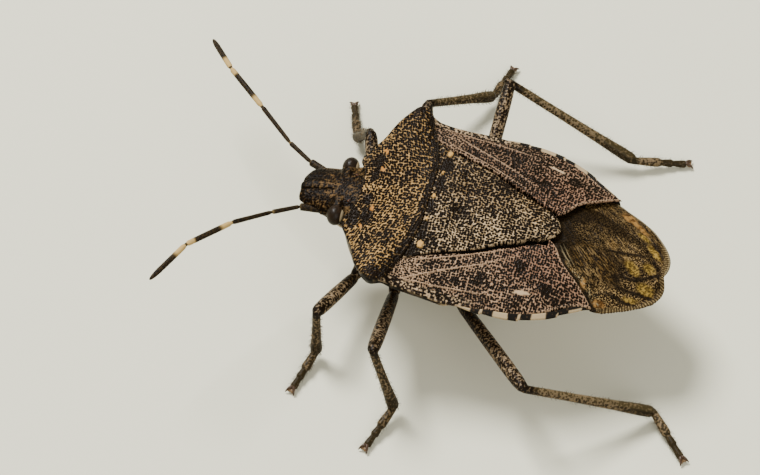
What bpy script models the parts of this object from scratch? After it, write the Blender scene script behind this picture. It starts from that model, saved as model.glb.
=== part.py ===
"""Life-size still model of a brown marmorated shield bug, standing with its head towards -X.

Lengths below are millimetres, and each mesh is turned into metres as it is made. The bug's own
frame has x from head to tail, y to its right side, and z up from the floor. CENTRE moves that
frame so that the origin lies under the middle of the model's box, legs and antennae included.
"""
import math

import bmesh
import bpy
import numpy as np
from mathutils import Matrix, Vector

MM = 0.001
GAP = 0.3                       # clearance between neighbouring solids
CENTRE = (1.83, -1.29)          # moves the bug's frame to the middle of its box

# Driving sizes of the body
HEAD_TIP = -7.75                # x of the front of the head
HEAD_REAR = -5.5
COLLAR = -5.2                   # x of the pronotum's front edge at the midline
PRONOTUM_REAR = -2.28
SCUTELLUM_TIP = 2.94
THORAX_REAR = -0.65
ABDOMEN_TIP = 6.55
WING_TIP = 7.45
HUMERAL_HALF = 4.43             # half width across the shoulders
WAIST_HALF = 4.15               # half width just behind the shoulders
ABDOMEN_HALF = 4.4              # widest half width of the abdomen
HEAD_FRONT_HALF = 0.78

# Heights above the floor
HEAD_TOP = 4.6
BACK_TOP = 5.71                 # top of the back, at the base of the scutellum
TAIL_TOP = 4.36
KEEL = 1.8                      # lowest line of the belly

# Thicknesses
PLATE = 0.8                     # scutellum
WING = 0.55                     # leathery part of the fore wing
FILM = 0.5                      # membrane of the fore wing
RIM = 0.5                       # edge of the abdomen
WING_STEP = 0.1                 # how far the wing lies below the scutellum's surface
BEVEL = 0.12                    # rounding of a plate's edge
LIP_WIDTH = 0.3                 # banded edge of the abdomen seen beside the wing
VEIN_HEIGHT = 0.12

# Limb radii
FEMUR_RADIUS = 0.35
TIBIA_RADIUS = 0.25
TARSUS_RADIUS = 0.25
COXA_RADIUS = 0.42
FEELER_RADIUS = 0.25
CLAW_RADIUS = 0.12
CLAW_LENGTH = 0.52
CLAW_SPREAD = 26                # degrees that each claw turns out from the foot
SIDES = 8


def profile(*knots):
    """A smooth height or width along x through a few (x, value) knots, without overshoot."""
    xs = np.array([knot[0] for knot in knots], float)
    ys = np.array([knot[1] for knot in knots], float)
    slope = np.diff(ys) / np.diff(xs)
    tangent = np.zeros(len(xs))
    for i in range(1, len(xs) - 1):
        if slope[i - 1] * slope[i] > 0:
            tangent[i] = 2 * slope[i - 1] * slope[i] / (slope[i - 1] + slope[i])
    tangent[0], tangent[-1] = slope[0], slope[-1]

    def value(x):
        x = min(max(float(x), xs[0]), xs[-1])
        i = min(int(np.searchsorted(xs, x, side="right")) - 1, len(xs) - 2)
        span = xs[i + 1] - xs[i]
        t = (x - xs[i]) / span
        blend = t * t * (3 - 2 * t)
        rise = span * (t * (1 - t) ** 2 * tangent[i] - t * t * (1 - t) * tangent[i + 1])
        return float(ys[i] + (ys[i + 1] - ys[i]) * blend + rise)

    return value


# Side view: the midline of the back, and the height of the body's outer edge
midline = profile((HEAD_TIP, HEAD_TOP), (-5.95, 5.13), (COLLAR, 5.33), (PRONOTUM_REAR, BACK_TOP),
                  (0.48, 5.54), (SCUTELLUM_TIP, 5.31), (WING_TIP, TAIL_TOP))
edge_height = profile((-5.7, 4.8), (-5.0, 5.05), (-4.2, 5.4), (-3.85, 5.55), (-3.4, 5.4),
                      (-3.0, 5.1), (-1.7, 4.85), (0.0, 4.65), (2.0, 4.45), (4.0, 4.3), (7.5, 4.2))
keel = profile((COLLAR, 2.5), (-4.8, 2.1), (-4.0, 1.88), (-3.0, KEEL), (2.0, KEEL), (4.5, 2.35),
               (ABDOMEN_TIP, 3.2))

# Top view: half widths
half_width = profile((-5.7, 1.9), (-5.0, 2.87), (-4.65, 3.64), (-4.2, 4.2), (-3.85, HUMERAL_HALF),
                     (-3.4, 4.2), (-2.9, WAIST_HALF), (-1.7, 4.2), (-0.3, 4.33), (1.0, ABDOMEN_HALF),
                     (2.1, 4.25), (3.1, 3.88), (3.9, 3.4), (4.9, 2.75), (6.0, 2.2), (6.7, 1.75),
                     (7.45, 1.0))
thorax_half = profile((COLLAR, 1.6), (-4.6, 2.7), (-4.0, 3.4), (-3.4, 3.8), (THORAX_REAR, 3.85))
abdomen_half = profile((-0.4, 3.85), (0.4, 4.3), (1.0, ABDOMEN_HALF), (2.1, 4.25), (3.1, 3.88), (3.9, 3.4),
                       (4.7, 2.85), (5.3, 2.2), (6.1, 1.4), (ABDOMEN_TIP, 0.7))
head_half = profile((HEAD_TIP, HEAD_FRONT_HALF), (-7.2, 0.9), (-6.9, 1.0), (-6.45, 1.2))
scutellum_half = profile((-2.62, 2.8), (-2.0, 2.55), (-0.2, 1.9), (0.9, 1.3), (1.5, 1.03),
                         (2.2, 0.74))
membrane_sink = profile((2.5, 0.36), (5.0, 0.2), (WING_TIP, 0.0))

# How far the thorax and abdomen lie below the back: at the midline, and less at the edge
cover_middle = profile((COLLAR, 1.27), (-3.2, 1.27), (-2.4, 1.12), (3.0, 1.18), (WING_TIP, 0.84))
cover_edge_gain = profile((COLLAR, 0.35), (-3.2, 0.35), (-2.4, 0.15), (3.0, 0.15), (5.0, 0.0))


def back(x, y):
    """Height of the dorsal surface."""
    across = min(abs(y) / half_width(x), 1.05)
    return midline(x) - (midline(x) - edge_height(x)) * across ** 2.3


def film_top(x, y):
    """Height of the membranes, which lie a little below the scutellum."""
    return back(x, y) - membrane_sink(x)


def core_top(x, y):
    """Upper side of the thorax and abdomen, clear of the plates that lie over them."""
    across = min(abs(y) / half_width(x), 1.0)
    return back(x, y) - cover_middle(x) + cover_edge_gain(x) * across ** 2


def belly(x, y, half, side):
    """Underside of the body, from its lowest line up to the height side at the half width."""
    across = min(abs(y) / half, 1.0)
    return side - (side - keel(x)) * (1 - across ** 2) ** 0.65


class Line:
    """A smooth line through a few plan points, read at a share of its length from 0 to 1."""

    def __init__(self, *points, straight=False):
        fine = [np.array(points[0], float)]
        last = len(points) - 1
        for i in range(last):
            p0, p1, p2, p3 = (np.array(points[min(max(i + k, 0), last)], float)
                              for k in (-1, 0, 1, 2))
            for t in np.linspace(0, 1, 13)[1:]:
                bend = p1 + t * (p2 - p1)
                if not straight:
                    bend = 0.5 * (2 * p1 + (p2 - p0) * t + (2 * p0 - 5 * p1 + 4 * p2 - p3) * t ** 2
                                  + (3 * p1 - p0 - 3 * p2 + p3) * t ** 3)
                fine.append(bend)
        self.fine = np.array(fine)
        steps = np.linalg.norm(np.diff(self.fine, axis=0), axis=1)
        self.along = np.concatenate([[0], np.cumsum(steps)]) / steps.sum()

    def __call__(self, share):
        return np.array([np.interp(share, self.along, self.fine[:, k])
                         for k in range(self.fine.shape[1])])


def patch(front, rear, left, right):
    """Plan position at shares (s front to rear, t left to right) inside four joined lines."""
    def place(s, t):
        ruled_across = (1 - t) * left(s) + t * right(s)
        ruled_along = (1 - s) * front(t) + s * rear(t)
        corners = ((1 - s) * ((1 - t) * left(0) + t * right(0))
                   + s * ((1 - t) * left(1) + t * right(1)))
        return ruled_across + ruled_along - corners
    return place


def shares(count, edge):
    """Stations from 0 to 1, with one close to each end for the rounding of the edge."""
    inner = np.linspace(edge, 1 - edge, count - 2)
    return [0.0, *[float(value) for value in inner], 1.0]


def new_object(name, mesh_builder, material):
    """A named object from a bmesh that holds the bug's millimetres."""
    bmesh.ops.recalc_face_normals(mesh_builder, faces=mesh_builder.faces)
    bmesh.ops.translate(mesh_builder, vec=(*CENTRE, 0), verts=mesh_builder.verts)
    bmesh.ops.scale(mesh_builder, vec=(MM, MM, MM), verts=mesh_builder.verts)
    mesh = bpy.data.meshes.new(name)
    mesh_builder.to_mesh(mesh)
    mesh_builder.free()
    mesh.materials.append(material)
    item = bpy.data.objects.new(name, mesh)
    bpy.context.collection.objects.link(item)
    return item


def slab(name, place, along, across, top, bottom, material, relief=None):
    """A closed plate over a plan patch, between a top and a bottom height, with bevelled edges.

    Both faces are split into like triangles. relief(s, t) raises the upper face.
    """
    builder = bmesh.new()
    layers = {"top": [], "bottom": []}
    for i, s in enumerate(along):
        for layer in layers.values():
            layer.append([])
        for j, t in enumerate(across):
            x, y = place(s, t)
            on_edge = i in (0, len(along) - 1) or j in (0, len(across) - 1)
            cut = BEVEL if on_edge else 0
            lift = relief(s, t) if relief and not on_edge else 0
            layers["top"][-1].append(builder.verts.new((x, y, top(x, y) + lift - cut)))
            layers["bottom"][-1].append(builder.verts.new((x, y, bottom(x, y) + cut)))
    for layer in layers.values():
        for i in range(len(along) - 1):
            for j in range(len(across) - 1):
                a, b = layer[i][j], layer[i + 1][j]
                c, d = layer[i + 1][j + 1], layer[i][j + 1]
                builder.faces.new((a, b, c))
                builder.faces.new((a, c, d))
    rows, columns = len(along), len(across)
    ring = ([(0, j) for j in range(columns)] + [(i, columns - 1) for i in range(1, rows)]
            + [(rows - 1, j) for j in range(columns - 2, -1, -1)]
            + [(i, 0) for i in range(rows - 2, 0, -1)])
    for (i, j), (k, m) in zip(ring, ring[1:] + ring[:1]):
        builder.faces.new((layers["top"][i][j], layers["top"][k][m],
                           layers["bottom"][k][m], layers["bottom"][i][j]))
    bmesh.ops.triangulate(builder, faces=[face for face in builder.faces if len(face.verts) > 3])
    return new_object(name, builder, material)


def tube(name, points, radii, material, sides=SIDES, floor=None):
    """A closed round limb through points, its end faces flat; floor cuts its sole level."""
    builder = bmesh.new()
    path = [Vector(point) for point in points]
    rings = []
    across = None
    for i, point in enumerate(path):
        ahead = (path[min(i + 1, len(path) - 1)] - path[max(i - 1, 0)]).normalized()
        if across is None:
            across = ahead.cross(Vector((0, 0, 1)))
            if across.length < 0.1:
                across = ahead.cross(Vector((0, 1, 0)))
        across = (across - ahead * across.dot(ahead)).normalized()
        upward = across.cross(ahead)
        ring = []
        for k in range(sides):
            angle = 2 * math.pi * (k + 0.5) / sides
            corner = point + radii[i] * (across * math.cos(angle) + upward * math.sin(angle))
            if floor is not None:
                corner.z = max(corner.z, floor)
            ring.append(builder.verts.new(corner))
        rings.append(ring)
    for first, second in zip(rings, rings[1:]):
        for k in range(sides):
            builder.faces.new((first[k], first[(k + 1) % sides],
                               second[(k + 1) % sides], second[k]))
    builder.faces.new(rings[0])
    builder.faces.new(rings[-1])
    bmesh.ops.triangulate(builder, faces=builder.faces[:])
    return new_object(name, builder, material)


def fuse(item, pieces):
    """Join sunk pieces to an object as one closed body, and keep only its largest surface."""
    group = bpy.data.collections.new(item.name + "_pieces")
    bpy.context.scene.collection.children.link(group)
    for piece in pieces:
        bpy.context.collection.objects.unlink(piece)
        group.objects.link(piece)
    union = item.modifiers.new("union", "BOOLEAN")
    union.operation = "UNION"
    union.solver = "EXACT"
    union.operand_type = "COLLECTION"
    union.collection = group
    bpy.context.view_layer.update()
    evaluated = item.evaluated_get(bpy.context.evaluated_depsgraph_get())
    mesh = bpy.data.meshes.new_from_object(evaluated)
    item.modifiers.clear()
    item.data = mesh
    for piece in pieces:
        bpy.data.objects.remove(piece)
    bpy.data.collections.remove(group)
    keep_largest(item)
    return item


def keep_largest(item):
    """Drop every closed surface of a mesh but the one with the most faces."""
    builder = bmesh.new()
    builder.from_mesh(item.data)
    unseen = set(builder.faces)
    groups = []
    while unseen:
        stack = [unseen.pop()]
        group = set(stack)
        while stack:
            for edge in stack.pop().edges:
                for face in edge.link_faces:
                    if face in unseen:
                        unseen.discard(face)
                        group.add(face)
                        stack.append(face)
        groups.append(group)
    largest = max(groups, key=len)
    scraps = [face for group in groups if group is not largest for face in group]
    bmesh.ops.delete(builder, geom=scraps, context="FACES")
    builder.to_mesh(item.data)
    builder.free()


def material(name, colour, roughness):
    """One plain finish for each kind of cuticle."""
    finish = bpy.data.materials.new(name)
    finish.use_nodes = True
    shader = finish.node_tree.nodes["Principled BSDF"]
    shader.inputs["Base Color"].default_value = (*colour, 1.0)
    shader.inputs["Roughness"].default_value = roughness
    shader.inputs["Metallic"].default_value = 0.0
    finish.diffuse_color = (*colour, 1.0)
    return finish


# Head

TUBERCLE = (-6.4, 1.55, 3.9)    # end of the stub in front of and below each eye
EYE_CENTRE = (-5.97, 1.27, 4.78)
EYE_SOCKET = 0.95               # half width of the head between the eyes


def head_outline(side):
    """Edge of the head from its front corner to its rear, stepping in for the eye."""
    points = [(x, side * head_half(x)) for x in (-7.6, -7.2, -6.8, -6.45)]
    points += [(-6.4, side * EYE_SOCKET), (HEAD_REAR, side * EYE_SOCKET)]
    return Line(*points, straight=True)


def head_top(x, y):
    across = abs(y) / max(head_half(x), EYE_SOCKET)
    return midline(x) - 0.3 * across ** 2


def head_bottom(x, y):
    depth = profile((HEAD_TIP, 0.75), (-7.0, 1.15), (-6.2, 1.85), (HEAD_REAR, 2.0))
    across = min(abs(y) / head_half(x), 1.0)
    return midline(x) - depth(x) * (1 - 0.4 * across ** 2)


def clypeus_grooves(s, t):
    """Two furrows part the middle lobe of the face from its side lobes."""
    return -0.09 if s < 0.55 and (abs(t - 0.32) < 0.02 or abs(t - 0.68) < 0.02) else 0


def make_head(finish):
    front = Line((-7.6, -head_half(-7.6)), (-7.73, -0.45), (HEAD_TIP, 0), (-7.73, 0.45),
                 (-7.6, head_half(-7.6)))
    rear = Line((HEAD_REAR, -EYE_SOCKET), (HEAD_REAR, EYE_SOCKET))
    place = patch(front, rear, head_outline(-1), head_outline(1))
    across = [0, 0.08, 0.2, 0.28, 0.32, 0.36, 0.5, 0.64, 0.68, 0.72, 0.8, 0.92, 1]
    head = slab("head", place, shares(13, 0.06), across, head_top, head_bottom, finish,
                clypeus_grooves)
    stubs = []
    for side in (-1, 1):
        x, y, z = TUBERCLE
        root = (x + 0.55, side * (y - 0.95), z)
        stubs.append(tube("stub", [root, (x, side * y, z)], [0.3, 0.27], finish))
    return fuse(head, stubs)


def make_eye(name, side, finish):
    """A domed eye whose flat base faces its socket."""
    builder = bmesh.new()
    bmesh.ops.create_uvsphere(builder, u_segments=14, v_segments=9, radius=0.42)
    bmesh.ops.rotate(builder, matrix=Matrix.Rotation(math.radians(90), 3, "X"),
                     verts=builder.verts)
    x, y, z = EYE_CENTRE
    bmesh.ops.translate(builder, vec=(x, side * y, z), verts=builder.verts)
    base = side * (EYE_SOCKET + GAP)
    cut = bmesh.ops.bisect_plane(builder, geom=builder.verts[:] + builder.edges[:] + builder.faces[:],
                                 plane_co=(x, base, z), plane_no=(0, -side, 0), clear_outer=True)
    edges = [item for item in cut["geom_cut"] if isinstance(item, bmesh.types.BMEdge)]
    bmesh.ops.contextual_create(builder, geom=edges)
    bmesh.ops.triangulate(builder, faces=builder.faces[:])
    return new_object(name, builder, finish)


ROSTRUM_PATH = [(-6.75, 0, 3.15), (-6.2, 0, 2.6), (-5.4, 0, 2.15), (-4.4, 0, 1.7), (-2.8, 0, 1.55),
                (-1.1, 0, 1.5)]


def make_rostrum(finish):
    """The beak, folded back under the body between the legs."""
    line = Line(*ROSTRUM_PATH)
    count = 12
    points = [line(i / (count - 1)) for i in range(count)]
    radii = [0.27 - 0.12 * max(0, i / (count - 1) - 0.75) / 0.25 for i in range(count)]
    return tube("rostrum", points, radii, finish)


# Joints of the antennae from root to tip; the two are held differently
ANTENNAE = {
    "left": [(-6.75, -1.6, 3.95), (-7.5, -1.5, 4.12), (-8.54, -1.72, 4.67), (-9.8, -3.02, 5.31),
             (-11.19, -4.8, 5.71), (-12.11, -6.89, 5.77)],
    "right": [(-6.75, 1.6, 3.95), (-7.65, 1.62, 4.05), (-8.87, 2.26, 4.13), (-10.39, 3.53, 4.43),
              (-12.13, 5.06, 4.52), (-13.43, 6.8, 3.93)],
}


def make_antenna(side, finish):
    """Five segments in one body, each drawn in a little at its joints."""
    joints = [Vector(point) for point in ANTENNAE[side]]
    points, radii = [joints[0]], [FEELER_RADIUS * 0.92]
    for start, end in zip(joints, joints[1:]):
        for share, factor in ((0.25, 1.04), (0.75, 1.08), (1.0, 0.88)):
            points.append(start.lerp(end, share))
            radii.append(FEELER_RADIUS * factor)
    radii[-1] = FEELER_RADIUS * 0.5
    return tube("antenna_" + side, points, radii, finish)


# Thorax, scutellum and wings

def make_pronotum(finish):
    """The shoulder shield, with its front hollowed for the head and eyes."""
    front = Line((-5.62, -1.9), (-5.28, -1.35), (COLLAR, -0.8), (COLLAR, 0), (COLLAR, 0.8),
                 (-5.28, 1.35), (-5.62, 1.9))
    rear = Line((-3.35, -4.15), (-2.95, -3.4), (-2.6, -2.5), (PRONOTUM_REAR, -1.2),
                (PRONOTUM_REAR, 1.2), (-2.6, 2.5), (-2.95, 3.4), (-3.35, 4.15))
    sides = [Line((-5.62, side * 1.9), (-5.0, side * 2.85), (-4.6, side * 3.62),
                  (-4.15, side * 4.2), (-3.8, side * HUMERAL_HALF), (-3.5, side * 4.36),
                  (-3.35, side * 4.15)) for side in (-1, 1)]

    def underside(x, y):
        return back(x, y) - 0.95 + 0.4 * min(abs(y) / half_width(x), 1) ** 2

    return slab("pronotum", patch(front, rear, *sides), shares(13, 0.05), shares(21, 0.025),
                back, underside, finish)


def scutellum_side(side, clearance=0.0, until=2.2):
    """Edge of the scutellum from its base corner to the start of its rounded tip."""
    xs = [-2.62 + clearance, -2.0, -0.9, 0.1, 0.9, 1.5, until]
    return [(x, side * (scutellum_half(x) + clearance)) for x in xs]


def make_scutellum(finish):
    """The long triangular shield between the wings, with a rounded tip."""
    base = Line((-2.32, -2.62), (-1.98, -1.2), (-1.98, 1.2), (-2.32, 2.62))
    sides = [Line((-2.32, side * 2.62), *scutellum_side(side)[2:]) for side in (-1, 1)]
    tip = Line((2.2, -0.74), (2.72, -0.5), (SCUTELLUM_TIP, 0), (2.72, 0.5), (2.2, 0.74))

    def underside(x, y):
        return back(x, y) - PLATE

    return slab("scutellum", patch(base, tip, *sides), shares(15, 0.03), shares(11, 0.06),
                back, underside, finish)


# The seam between the leathery wing and its membrane, for the right wing
SEAM = [(2.62, 1.12), (3.3, 1.5), (3.95, 1.95), (4.62, 2.3)]


def wing_edge(side):
    """Outer edge of the leathery wing, stepping in where the banded rim shows beside it."""
    beside_lip = LIP_WIDTH + GAP + 0.03
    inset = profile((-3.1, 0.05), (-1.4, 0.05), (0.9, beside_lip), (4.7, beside_lip))
    xs = [-3.0, -2.4, -1.6, -0.6, 0.4, 1.5, 2.7, 3.7]
    points = [(x, side * (half_width(x) - inset(x))) for x in xs]
    return Line(*points, (4.62, side * 2.3))


def corium_veins(s, t):
    """Two low veins along the leathery wing, fading towards its seam."""
    if s > 0.86:
        return 0
    return 0.07 * (abs(t - 0.32) < 0.02) + 0.07 * (abs(t - 0.66) < 0.02)


def make_corium(side_name, side, finish):
    inner = Line(*scutellum_side(side, GAP), (SEAM[0][0], side * SEAM[0][1]))
    start_inner, start_outer = inner(0), wing_edge(side)(0)
    base = Line(start_inner, (start_inner + start_outer) / 2 + np.array((0.02, 0)), start_outer)
    seam = Line(*[(x, side * y) for x, y in SEAM])

    def top(x, y):
        return back(x, y) - WING_STEP

    def underside(x, y):
        return top(x, y) - WING

    across = [0, 0.06, 0.18, 0.27, 0.32, 0.37, 0.5, 0.61, 0.66, 0.71, 0.83, 0.94, 1]
    place = patch(base, seam, inner, wing_edge(side))
    return slab("corium_" + side_name, place, shares(16, 0.03), across, top, underside, finish,
                corium_veins)


# Inner edge of the left membrane, which lies over the right one and crosses the midline
OVERLAP = [(3.98, 1.72), (4.67, 1.48), (5.22, 1.22), (6.26, 0.65), (6.85, 0.02), (7.25, -0.5)]
LEFT_VEINS = (0.14, 0.28, 0.42, 0.56, 0.7, 0.84)
RIGHT_VEINS = (0.4, 0.7)


def vein_stations(veins, reach):
    """Stations across a membrane with three beside each vein."""
    inner = [share + step for share in veins for step in (-reach, 0, reach)]
    return [0, 0.05, *inner, 0.95, 1]


def veins_of(veins):
    """Main veins raised in the membrane's own surface, fading near its hind edge."""
    def relief(s, t):
        crest = any(abs(t - share) < 0.002 for share in veins)
        return VEIN_HEIGHT * min(1, 3 * (1 - s)) if crest else 0
    return relief


def make_membranes(finish):
    def underside(x, y):
        return film_top(x, y) - FILM

    behind = GAP * 0.85
    front = Line((5.0, -2.15), (4.1, -1.72), (3.05, -1.25), (3.2, 0), (3.05, 1.2),
                 (SEAM[2][0] + 0.03, SEAM[2][1] - behind))
    rear = Line((7.19, -1.77), (7.4, -1.3), (7.4, -0.85), (7.25, -0.5))
    outer = Line((5.0, -2.15), (5.4, -2.35), (5.95, -2.45), (6.7, -2.15), (7.19, -1.77))
    left = patch(front, rear, outer, Line(*OVERLAP))
    slab("membrane_left", left, shares(15, 0.03), vein_stations(LEFT_VEINS, 0.025), film_top,
         underside, finish, veins_of(LEFT_VEINS))

    inner = Line((4.36, 1.92), (4.85, 1.74), (5.4, 1.48), (6.46, 0.9), (7.08, 0.27), (7.4, -0.1))
    edge = Line((5.0, 2.22), (5.5, 2.2), (5.99, 1.95), (6.6, 1.45), (7.15, 0.85), (WING_TIP, 0.3))
    front = Line(inner(0), (4.7, 2.1), edge(0))
    rear = Line(inner(1), (WING_TIP, 0.1), edge(1))
    right = patch(front, rear, inner, edge)
    slab("membrane_right", right, shares(13, 0.05), vein_stations(RIGHT_VEINS, 0.08), film_top,
         underside, finish, veins_of(RIGHT_VEINS))


# Legs: hip, knee, end of tibia and end of tarsus of each leg as it stands
TOE = 0.12                     # height of the foot's axis at its end, so that its sole lies flat
LEGS = {
    "front_left": ((-5.11, -1.91, 1.65), (-5.89, -4.75, 2.87), (-5.87, -4.96, 0.45),
                   (-6.38, -6.76, TOE)),
    "middle_left": ((-3.33, -2.35, 1.65), (-3.07, -6.67, 3.88), (-2.15, -6.85, 0.5),
                    (-2.82, -8.72, TOE)),
    "hind_left": ((-0.55, -2.12, 1.65), (3.04, -6.55, 3.3), (7.94, -4.46, 0.5),
                  (9.48, -6.12, TOE)),
    "front_right": ((-5.16, 1.89, 1.65), (-6.15, 4.78, 2.55), (-7.02, 5.92, 0.46),
                    (-7.62, 7.73, TOE)),
    "middle_right": ((-3.51, 2.34, 1.65), (-4.32, 7.13, 2.1), (-2.03, 9.39, 0.52),
                     (-1.64, 11.23, TOE)),
    "hind_right": ((-1.15, 2.29, 1.65), (-1.04, 8.0, 3.48), (4.45, 7.58, 0.52),
                   (6.55, 8.25, TOE)),
}
COXAE = {"front": (-4.85, 1.17, 1.75), "middle": (-3.38, 1.57, 1.72), "hind": (-1.08, 1.52, 1.72)}
SOCKET_DEPTH = 0.75
SOCKET_RADIUS = 0.78


def thorax_bottom(x, y):
    """Belly of the thorax, with a hollow for each coxa and a groove for the beak."""
    half = thorax_half(x)
    height = belly(x, y, half, core_top(x, half) - RIM)
    for cx, cy, _ in COXAE.values():
        away = math.hypot(x - cx, abs(y) - cy) / SOCKET_RADIUS
        height += SOCKET_DEPTH * math.exp(-away ** 4)
    return height + 0.35 * math.exp(-(y / 0.5) ** 2)


def make_thorax(finish):
    front = Line((COLLAR, -1.5), (COLLAR, 1.5))
    rear = Line((THORAX_REAR, -3.8), (THORAX_REAR, 3.8))
    xs = np.linspace(COLLAR, THORAX_REAR, 9)
    sides = [Line(*[(x, side * thorax_half(x)) for x in xs]) for side in (-1, 1)]
    return slab("thorax", patch(front, rear, *sides), shares(18, 0.03), shares(27, 0.02),
                core_top, thorax_bottom, finish)


SEGMENT_ENDS = (-0.35, 0.85, 2.05, 3.2, 4.3, 5.3, ABDOMEN_TIP)
TOOTH = 0.07                    # how far each segment's rear corner stands out


def make_abdomen(finish):
    """The hind body, whose banded rim stands up beside the wings, notched at each segment."""
    stations = []
    for start, end in zip(SEGMENT_ENDS, SEGMENT_ENDS[1:]):
        length = end - start
        stations += [(start + 0.04, 0.0), (start + length * 0.5, 0.5), (end - 0.04, 1.0)]
    lip = profile((0.3, 0.0), (0.95, 1.0), (4.1, 1.0), (4.75, 0.0), (6.5, 0.0))

    def edge(x, tooth):
        return abdomen_half(x) + TOOTH * tooth * (x < 5)

    def across(half):
        inner = np.linspace(-1, 1, 13) * (half - LIP_WIDTH - 0.15)
        return [-half, -half + 0.05, -half + LIP_WIDTH, *inner, half - LIP_WIDTH, half - 0.05, half]

    builder = bmesh.new()
    tops, bottoms = [], []
    for x, tooth in stations:
        half = edge(x, tooth)
        widths = across(half)
        tops.append([])
        bottoms.append([])
        for k, y in enumerate(widths):
            on_lip = k < 3 or k >= len(widths) - 3
            outermost = k in (0, len(widths) - 1)
            inner_top = core_top(x, min(abs(y), half - LIP_WIDTH))
            raised = edge_height(x) - 0.06 - inner_top
            top = inner_top + (raised * lip(x) if on_lip else 0) - 0.06 * outermost
            tops[-1].append(builder.verts.new((x, y, top)))
            groove = 0.06 if tooth in (0.0, 1.0) else 0
            low = min(belly(x, y, half, inner_top + raised * lip(x) - 0.4) + groove, top - 0.3)
            bottoms[-1].append(builder.verts.new((x, y, low)))
    rows, columns = len(tops), len(tops[0])
    for layer in (tops, bottoms):
        for i in range(rows - 1):
            for j in range(columns - 1):
                builder.faces.new((layer[i][j], layer[i + 1][j], layer[i + 1][j + 1]))
                builder.faces.new((layer[i][j], layer[i + 1][j + 1], layer[i][j + 1]))
    for i in range(rows - 1):
        for j in (0, columns - 1):
            builder.faces.new((tops[i][j], tops[i + 1][j], bottoms[i + 1][j], bottoms[i][j]))
    for i in (0, rows - 1):
        for j in range(columns - 1):
            builder.faces.new((tops[i][j], tops[i][j + 1], bottoms[i][j + 1], bottoms[i][j]))
    bmesh.ops.triangulate(builder, faces=[face for face in builder.faces if len(face.verts) > 3])
    return new_object("abdomen", builder, finish)


def setback(kept_radius, cut_radius, joint, cut_end, kept_end):
    """How far a limb stops before a joint so that it clears the next one by GAP."""
    cut_way = (Vector(cut_end) - Vector(joint)).normalized()
    kept_way = (Vector(kept_end) - Vector(joint)).normalized()
    angle = cut_way.angle(kept_way)
    clear = kept_radius + GAP
    if angle >= math.pi / 2:
        return clear
    return (clear + cut_radius * math.cos(angle)) / math.sin(angle)


def limb(name, start, end, shape, finish, floor=None):
    """A straight limb with its radius given at shares of its length."""
    start, end = Vector(start), Vector(end)
    points = [start.lerp(end, share) for share, _ in shape]
    return tube(name, points, [radius for _, radius in shape], finish, floor=floor)


def make_claws(name, end, ahead, finish):
    """Two curved claws that part at the end of the foot and come down to the floor."""
    claws = []
    for turn in (-CLAW_SPREAD, CLAW_SPREAD):
        way = Matrix.Rotation(math.radians(turn), 3, "Z") @ ahead
        root = end - ahead * 0.15
        points = []
        for share in (0, 0.35, 0.7, 1.0):
            arch = 0.1 + 0.25 * share - 0.45 * share ** 2
            points.append(root + way * (CLAW_LENGTH * share) + Vector((0, 0, arch)))
        radii = [CLAW_RADIUS, CLAW_RADIUS, CLAW_RADIUS * 0.75, 0.04]
        claws.append(tube(name + "_claw", points, radii, finish, sides=6, floor=0.0))
    return claws


def make_leg(key, finish):
    """Femur with its coxa, tibia and clawed tarsus, each cut back to clear the next."""
    hip, knee, ankle, toe = (Vector(point) for point in LEGS[key])
    pair, side_name = key.split("_")
    side = -1 if side_name == "left" else 1
    cx, cy, cz = COXAE[pair]
    coxa = Vector((cx, side * cy, cz))

    stop = setback(TIBIA_RADIUS, 0.25, knee, hip, ankle)
    femur_end = knee + (hip - knee).normalized() * stop
    points, radii = [coxa, coxa.lerp(hip, 0.45), coxa.lerp(hip, 0.85)], [0.36, COXA_RADIUS, 0.34]
    shape = ((0.12, 0.27), (0.25, 0.32), (0.5, FEMUR_RADIUS), (0.75, 0.33), (0.93, 0.27), (1, 0.25))
    for share, radius in shape:
        points.append(hip.lerp(femur_end, share))
        radii.append(radius)
    tube("leg_" + key + "_femur", points, radii, finish)

    stop = setback(TARSUS_RADIUS, 0.28, ankle, knee, toe)
    tibia_end = ankle + (knee - ankle).normalized() * stop
    shape = ((-0.03, 0.14), (0, TIBIA_RADIUS), (0.5, TIBIA_RADIUS), (0.85, TIBIA_RADIUS), (1, 0.28))
    limb("leg_" + key + "_tibia", knee, tibia_end, shape, finish)

    shape = ((-0.09, 0.16), (0, TARSUS_RADIUS), (0.3, 0.25), (0.42, 0.25), (0.47, 0.21),
             (0.52, 0.24), (0.62, 0.24), (0.67, 0.2), (0.75, 0.25), (0.93, 0.25), (1, 0.16))
    tarsus = limb("leg_" + key + "_tarsus", ankle, toe, shape, finish, floor=0.0)
    ahead = (toe - ankle)
    ahead.z = 0
    fuse(tarsus, make_claws(key, toe, ahead.normalized(), finish))


def main():
    for item in list(bpy.data.objects):
        bpy.data.objects.remove(item)
    head_finish = material("dark cuticle", (0.10, 0.075, 0.05), 0.5)
    shield_finish = material("marbled cuticle", (0.20, 0.145, 0.09), 0.5)
    wing_finish = material("leathery wing", (0.20, 0.13, 0.10), 0.55)
    film_finish = material("wing membrane", (0.10, 0.07, 0.03), 0.3)
    belly_finish = material("pale belly", (0.45, 0.36, 0.22), 0.5)
    eye_finish = material("eye", (0.08, 0.03, 0.025), 0.2)
    leg_finish = material("speckled leg", (0.22, 0.15, 0.09), 0.5)
    feeler_finish = material("antenna", (0.09, 0.06, 0.05), 0.5)

    make_head(head_finish)
    make_rostrum(belly_finish)
    make_pronotum(shield_finish)
    make_scutellum(shield_finish)
    make_membranes(film_finish)
    make_thorax(belly_finish)
    make_abdomen(belly_finish)
    for side_name, side in (("left", -1), ("right", 1)):
        make_eye("eye_" + side_name, side, eye_finish)
        make_antenna(side_name, feeler_finish)
        make_corium(side_name, side, wing_finish)
    for key in LEGS:
        make_leg(key, leg_finish)


main()
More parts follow.
